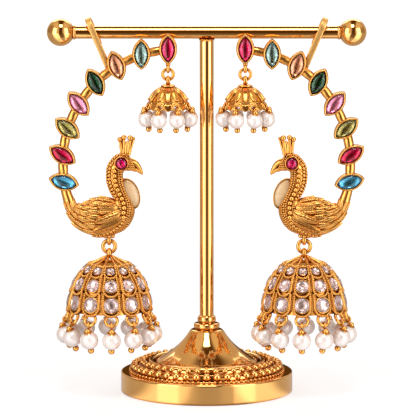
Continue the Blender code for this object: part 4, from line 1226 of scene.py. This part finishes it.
def bell_lining():
    """A thin shell inside the frames, open at both ends."""
    outer = ((7.1, 49.1), (10.1, 45.8), (12.4, 42.1), (13.5, 38.5), (14.4, 34.6), (14.8, 32.0))
    inner = ((14.1, 32.0), (13.7, 34.6), (12.8, 38.5), (11.7, 42.0), (9.5, 45.5), (6.6, 48.8))
    lining = turned("lining", outer + inner, 72, LARGE_AXIS)
    open_up(lining, lambda face: len(face.vertices) > 4)
    bpy.ops.mesh.select_non_manifold()
    bpy.ops.mesh.bridge_edge_loops()
    face_out()
    bpy.ops.object.mode_set(mode="OBJECT")
    return lining


def bell_cap():
    """The top ring, its spokes, the hub and the loop for the jump ring."""
    x, y = LARGE_AXIS
    hub = turned("hub", ((0.6, 51.7), (1.5, 51.9), (1.7, 52.3), (1.3, 52.7), (0.8, 52.9)), 24, LARGE_AXIS)
    ring = reshaped(hoop("top_ring", 7.6, 0.50, 72, 10), lambda p: (x + p.x, y + p.y, 49.45 + p.z))
    parts = [hub, ring, edge_on_loop(x, y, 53.81, 1.5, 0.5, 1.5)]
    for column in range(COLUMNS):
        angle = bell_angle(column + 0.5)
        points = []
        for k in range(7):
            radius = 0.9 + 6.6 * k / 6
            points.append((x + radius * math.cos(angle), y + radius * math.sin(angle), 52.7 - 3.2 * k / 6))
        parts.append(wire_along("spoke", points, 0.44))
    return parts


def large_bell():
    x, y = LARGE_AXIS
    wires, beads = bell_frames()
    for half_column in range(2 * COLUMNS):
        angle = bell_angle(half_column / 2)
        beads.append(((x + 7.7 * math.cos(angle), y + 7.7 * math.sin(angle), 49.65), None, 0.66))
    shell = joined("large_bell_shell", bell_plates(), bell_lining(), *bell_cap(), *wires)
    smooth(shell, 50)
    cuff_pair(shell, ANTIQUE, "antique_gold", "large_bell", "large_jhumka_dome")
    seed = bead("seed", 1.0, 10, 7)
    studs = copied("large_bell_beading", seed, beads)
    smooth(studs)
    cuff_pair(studs, BEADED, "antique_gold", "large_bell")
    dropped(seed)


def bell_stones():
    """Oval foil-backed stones in the large bell's frames, each in a bezel."""
    crown = (
        (8, 0.50, 0.62, 0.0), (8, 0.80, 0.40, 0.5), (16, 1.0, 0.0, 0.0), (16, 1.0, -0.1, 0.0),
        (8, 0.3, -0.58, 0.0),
    )
    foil = ((16, 0.97, -0.04, 0.0), (8, 0.62, -0.36, 0.5), (8, 0.25, -0.50, 0.0))
    bezel_profile = (
        (1.0, -0.55), (1.10, -0.50), (1.14, -0.2), (1.13, 0.15), (1.09, 0.30), (1.04, 0.32), (1.0, 0.22),
        (0.97, 0.0), (0.97, -0.4),
    )
    crystal = foiled_stone("crystal", "crystal", crown, foil, lambda p: p, lambda at: at.z)
    bezel = turned("bezel", bezel_profile, 28)
    stones, rims = [], []
    for row in BELL_ROWS:
        size = (row.stone_width / 2, row.stone_height / 2, 1.0)
        for column in range(COLUMNS):
            turn = about_bell(row, column, row.stone_down)
            stones.append((on_row(row, column, 0.0, row.stone_down, 0.66), turn, size))
            rims.append((on_row(row, column, 0.0, row.stone_down, 0.42), turn, size))
    made = copied("large_bell_stones", crystal, stones)
    bezels = copied("large_bell_bezels", bezel, rims)
    smooth(bezels, 50)
    cuff_pair(bezels, BEADED, "antique_gold", "large_bell")
    cuff_pair(made, None, None, "large_bell")
    dropped(crystal, bezel)


def jump_rings():
    """The rings that the bells hang on, in the cuff's plane."""
    for size, (x, y), z, radius, wire in (
        ("large", LARGE_AXIS, 56.26, 2.32, 0.78), ("small", SMALL_AXIS, 121.94, 2.03, 0.63),
    ):
        ring = hoop(size + "_link_ring", radius, wire, 32, 12)
        smooth(reshaped(ring, lambda p: (x + p.x, y + p.z / HOOP_DEPTH, z + p.y)))
        cuff_pair(ring, ANTIQUE, "antique_gold", size + "_link", size + "_jump_ring")


# What hangs round a bell's rim: how many, the first one's angle, the top and foot of a ring as
# (radius, z), its size and wire, the pearls' circle, height and radius, cap, end bead and lean
Fringe = namedtuple("Fringe", "count start ring_top ring_foot ring wire circle pearl_z pearl cap tip lean")
LARGE_FRINGE = Fringe(
    12, -86.0, (14.7, 32.4), (17.0, 28.1), 2.25, 0.60, 16.7, 22.66, 3.5, 1.08, 1.25, math.radians(20),
)
SMALL_FRINGE = Fringe(
    8, -67.5, (7.6, 111.3), (8.7, 108.9), 1.25, 0.34, 8.97, 105.2, 3.0, 0.95, 1.15, math.radians(16),
)


def hanging_pearls(size, axis, fringe):
    """Jump rings, headpins, bead caps, pearls and end beads round the rim of a bell."""
    base, wire, pearl = Vector((*axis, 0)), fringe.wire, fringe.pearl
    rings, loops, beads, pearls, pins, saucers = [], [], [], [], [], []
    for k in range(fringe.count):
        out, side, up = round_bell(fringe.start + 360 * k / fringe.count)
        high = base + out * fringe.ring_top[0] + up * fringe.ring_top[1]
        low = base + out * fringe.ring_foot[0] + up * fringe.ring_foot[1]
        rise = (high - low).normalized()
        rings.append(((high + low) / 2, turn_of(side, rise, side.cross(rise).normalized()), 1.0))
        centre = base + out * fringe.circle + up * fringe.pearl_z
        pole = out * math.sin(fringe.lean) + up * math.cos(fringe.lean)
        top = centre + pole * (pearl + fringe.cap * 0.35)
        join = low + rise * wire - pole * wire * 0.4
        loops.append((join, turn_of(out, up, side), 1.0))
        saucer_turn = turn_of(side.cross(pole).normalized(), side, pole)
        saucers.append((centre + pole * (pearl - 0.12), saucer_turn, (pearl * 0.46, pearl * 0.46, 1.0)))
        bent = (join + top) / 2 - pole * 0.3
        pins.append(wire_along("pin", [join - pole * wire * 1.6, bent, top], wire * 0.62, 6))
        beads.append((top, None, fringe.cap))
        beads.append((centre - pole * (pearl + fringe.tip * 0.72), None, fringe.tip))
        pearls.append((centre, None, pearl))
    saucer_profile = ((0.4, -0.16), (1.0, -0.16), (1.06, 0.0), (0.95, 0.14), (0.5, 0.3), (0.3, 0.3))
    parts = []
    for template, places in (
        (hoop("rim_ring", fringe.ring, wire, 20, 8), rings),
        (hoop("pin_loop", wire * 1.7, wire * 0.70, 14, 8), loops),
        (bead("seed", 1.0, 16, 10), beads), (turned("saucer", saucer_profile, 16), saucers),
    ):
        parts.append(copied("copies", template, places))
        dropped(template)
    metal = joined(size + "_fringe_metal", *parts, *pins)
    smooth(metal, 50)
    cuff_pair(metal, BEADED, "antique_gold", size + "_bell")
    round_pearl = bead("pearl", 1.0, 32, 20)
    made = copied(size + "_fringe_pearls", round_pearl, pearls)
    smooth(made)
    cuff_pair(made, PEARL, "pearl", size + "_bell", size + "_pearl_fringe")
    dropped(round_pearl)


# Outer profile of the small bell from its collar to its rim: radius, z
SMALL_ROWS = ((2.35, 117.25), (3.9, 116.4), (5.4, 114.9), (6.4, 113.2), (6.95, 111.9))


def on_small_bell(step, angle, rise=0.0):
    """A point on the small bell, out from it by rise."""
    radius, height = smooth_row(SMALL_ROWS, step)
    ahead = Vector(smooth_row(SMALL_ROWS, min(step + 0.05, 4)))
    run = (ahead - Vector(smooth_row(SMALL_ROWS, max(step - 0.05, 0)))).normalized()
    out = round_bell(angle)[0]
    return Vector((*SMALL_AXIS, height + run.x * rise)) + out * (radius - run.y * rise)


def small_girth(step):
    return math.radians(1) * smooth_row(SMALL_ROWS, step)[0]


def small_petals():
    """Twelve grooved petals round the dome, with a dot near the tip of each."""
    grid = leaf_grid(10, 8)
    dot = bead("dot", 1.0, 12, 8)
    petals, dots = [], []
    for k in range(12):
        angle = k * 30 - 90
        petals.append(laid_leaf(grid, (0.15, angle), (3.95, angle), 3.1, 0.75, 1.0, on_small_bell, small_girth))
        dots.append((on_small_bell(3.55, angle, 0.75), None, 0.32))
    made = joined("petals", *petals)
    face_leaves(made)
    parts = [made, copied("dots", dot, dots)]
    dropped(grid, dot)
    return parts


def small_rim():
    """Eyelets that hold the pearls' rings, and scalloped plates between them."""
    plate_profile = (
        (0.6, -0.3), (0.93, -0.25), (1.0, 0.0), (0.95, 0.25), (0.8, 0.38), (0.55, 0.42), (0.25, 0.44),
    )
    plate = turned("plate", plate_profile, 32)
    eyelet = hoop("eyelet", 1.38, 0.48, 24, 10)

    def scalloped(p):
        dip = max(0.0, 1 - (p.x * 1.9 / 1.25) ** 2) if p.y > 0 else 0.0
        return p.x * 1.9, p.y * (1.75 - dip), p.z

    reshaped(plate, scalloped)
    holes, plates = [], []
    for k in range(16):
        out, side, up = round_bell(-90 + 22.5 * k)
        facing_out = (out + up * 0.28).normalized()
        turn = turn_of(side, facing_out.cross(side).normalized(), facing_out)
        spot = Vector((*SMALL_AXIS, 110.45)) + out * 7.35
        if k % 2:
            holes.append((spot, turn, 1.0))
        else:
            plates.append((spot - up * 0.2, turn, 1.0))
    parts = [copied("eyelets", eyelet, holes), copied("plates", plate, plates)]
    dropped(eyelet, plate)
    return parts


def small_bell():
    outer = [tuple(smooth_row(SMALL_ROWS, 4 * k / 12)) for k in range(13)]
    inner = [(r - 0.6, z - 0.35) for r, z in reversed(outer[2:])]
    crown_profile = (
        (0.55, 119.2), (0.80, 118.9), (0.95, 118.4), (1.2, 118.1), (2.2, 118.0), (2.65, 117.85), (2.75, 117.6),
        (2.65, 117.35), (2.2, 117.2), (1.8, 117.0),
    )
    band_profile = ((6.5, 112.0), (7.05, 112.15), (7.25, 112.0), (7.25, 111.8), (7.05, 111.65), (6.5, 111.65))
    dome = turned("dome", [(1.5, 117.4), *outer, (6.9, 111.7), (6.5, 111.7), *inner], 64, SMALL_AXIS)
    crown = turned("crown", crown_profile, 32, SMALL_AXIS)
    band = turned("band", band_profile, 64, SMALL_AXIS)
    loop = edge_on_loop(*SMALL_AXIS, 119.79, 1.32, 0.42, 1.7)
    made = joined("small_bell_shell", dome, crown, loop, band, *small_petals(), *small_rim())
    smooth(made, 55)
    cuff_pair(made, ANTIQUE, "antique_gold", "small_bell", "small_jhumka_dome")


def studio_floor():
    """White for the camera. The gold mirrors dark and light fans of it, which turn round the object."""
    deselect()
    bpy.ops.mesh.primitive_plane_add(size=6.0, location=(0, 0, -0.0002))
    floor = settle("floor")

    def recipe(tree):
        place = put(tree, "ShaderNodeSeparateXYZ", {"Vector": on_object(tree)}).outputs
        across, along = place["X"], place["Y"]
        reach = worked(tree, "SQRT", added(tree, times(tree, across, across), times(tree, along, along)))
        azimuth = worked(tree, "ARCTAN2", across, times(tree, along, -1.0))
        turn = worked(tree, "ABSOLUTE", less(tree, azimuth, math.radians(7)))
        falling = eased(tree, turn, math.radians(58), math.radians(82))
        fan = less(tree, eased(tree, turn, math.radians(18), math.radians(32)), falling)
        far = added(tree, times(tree, fan, 1.75), times(tree, falling, 0.30))
        away = eased(tree, reach, 0.11, 0.22)
        near = times(tree, less(tree, 1.0, away), added(tree, times(tree, fan, 0.75), 0.35))
        mirrored = added(tree, times(tree, far, away), near)
        plain = added(tree, times(tree, eased(tree, reach, 0.10, 0.9), 0.30), 0.68)
        seen = put(tree, "ShaderNodeLightPath").outputs["Is Camera Ray"]
        glow = put(tree, "ShaderNodeMix", {"Factor": seen, "A": mirrored, "B": plain})
        return {
            "Base Color": blended(tree, seen, (0.16, 0.12, 0.09), (0.40, 0.42, 0.46)),
            "Roughness": 0.30, "Specular IOR Level": 0.25,
            "Emission Color": (1, 1, 1), "Emission Strength": glow.outputs["Result"],
        }

    dress(floor, finish_of("studio_floor", recipe))


def studio_room():
    """White for the camera. The gold mirrors a dark room with light walls at its sides."""
    world = bpy.data.worlds.new("studio")
    bpy.context.scene.world = world
    world.use_nodes = True
    tree = world.node_tree
    generated = put(tree, "ShaderNodeTexCoord").outputs["Generated"]
    way = put(tree, "ShaderNodeSeparateXYZ", {"Vector": generated}).outputs
    aside = worked(tree, "ABSOLUTE", less(tree, way["X"], 0.06))
    walls = less(tree, eased(tree, aside, 0.16, 0.36), times(tree, eased(tree, aside, 0.66, 0.90), 0.6))
    behind = times(tree, eased(tree, way["Y"], 0.05, 0.5), 0.3)
    share = times(tree, walls, less(tree, 1.0, behind))
    room = tree.nodes["Background"]
    feed(tree, room.inputs["Color"], blended(tree, share, (0.10, 0.042, 0.006), (0.82, 0.70, 0.56)))
    white = put(tree, "ShaderNodeBackground", {"Color": (1, 1, 1)})
    seen = put(tree, "ShaderNodeLightPath").outputs["Is Camera Ray"]
    shown = put(tree, "ShaderNodeMixShader", {"Fac": seen, 1: room.outputs[0], 2: white.outputs[0]})
    feed(tree, tree.nodes["World Output"].inputs["Surface"], shown.outputs[0])


def studio_lamp(name, azimuth, elevation, width, height, power):
    """A softbox aimed at the object. Azimuth 0 is the camera's side, and positive is to its right."""
    aim, distance = Vector((0, 0, 0.075)), 0.9
    turn, rise = math.radians(azimuth), math.radians(elevation)
    way = Vector((math.sin(turn) * math.cos(rise), -math.cos(turn) * math.cos(rise), math.sin(rise)))
    deselect()
    bpy.ops.object.light_add(type="AREA", location=aim + way * distance)
    light = bpy.context.active_object
    light.name = name
    light.data.shape = "RECTANGLE"
    light.data.size = width
    light.data.size_y = height
    light.data.energy = power
    light.rotation_euler = way.to_track_quat("Z", "Y").to_euler()


def studio_camera():
    """The photo's view: a long lens from a little above."""
    aim, distance, rise = Vector((0.0005, 0, 0.0704)), 1.6, math.radians(8.0)
    photo_width, millimetres_a_pixel = 416, 0.38
    way = Vector((0, -math.cos(rise), math.sin(rise)))
    deselect()
    bpy.ops.object.camera_add(location=aim + way * distance)
    camera = bpy.context.active_object
    camera.rotation_euler = way.to_track_quat("Z", "Y").to_euler()
    camera.data.sensor_width = 36.0
    camera.data.lens = 36.0 * distance / (photo_width * millimetres_a_pixel * MM)
    camera.data.clip_end = 20.0
    bpy.context.scene.camera = camera
    bpy.context.scene.view_settings.view_transform = "Standard"


stand()
settings()
frame_tubes()
ear_hook()
top_bail()
marquise_stones()
peacock()
jump_rings()
large_bell()
bell_stones()
small_bell()
hanging_pearls("large", LARGE_AXIS, LARGE_FRINGE)
hanging_pearls("small", SMALL_AXIS, SMALL_FRINGE)
studio_floor()
studio_room()
studio_lamp("left_softbox", -53, 12, 0.50, 0.9, 3.7)
studio_lamp("right_softbox", 52, 12, 0.50, 0.9, 3.7)
studio_lamp("top_softbox", 0, 64, 0.30, 0.36, 2.6)
studio_lamp("back_softbox", 180, 38, 0.9, 0.5, 3.2)
studio_camera()
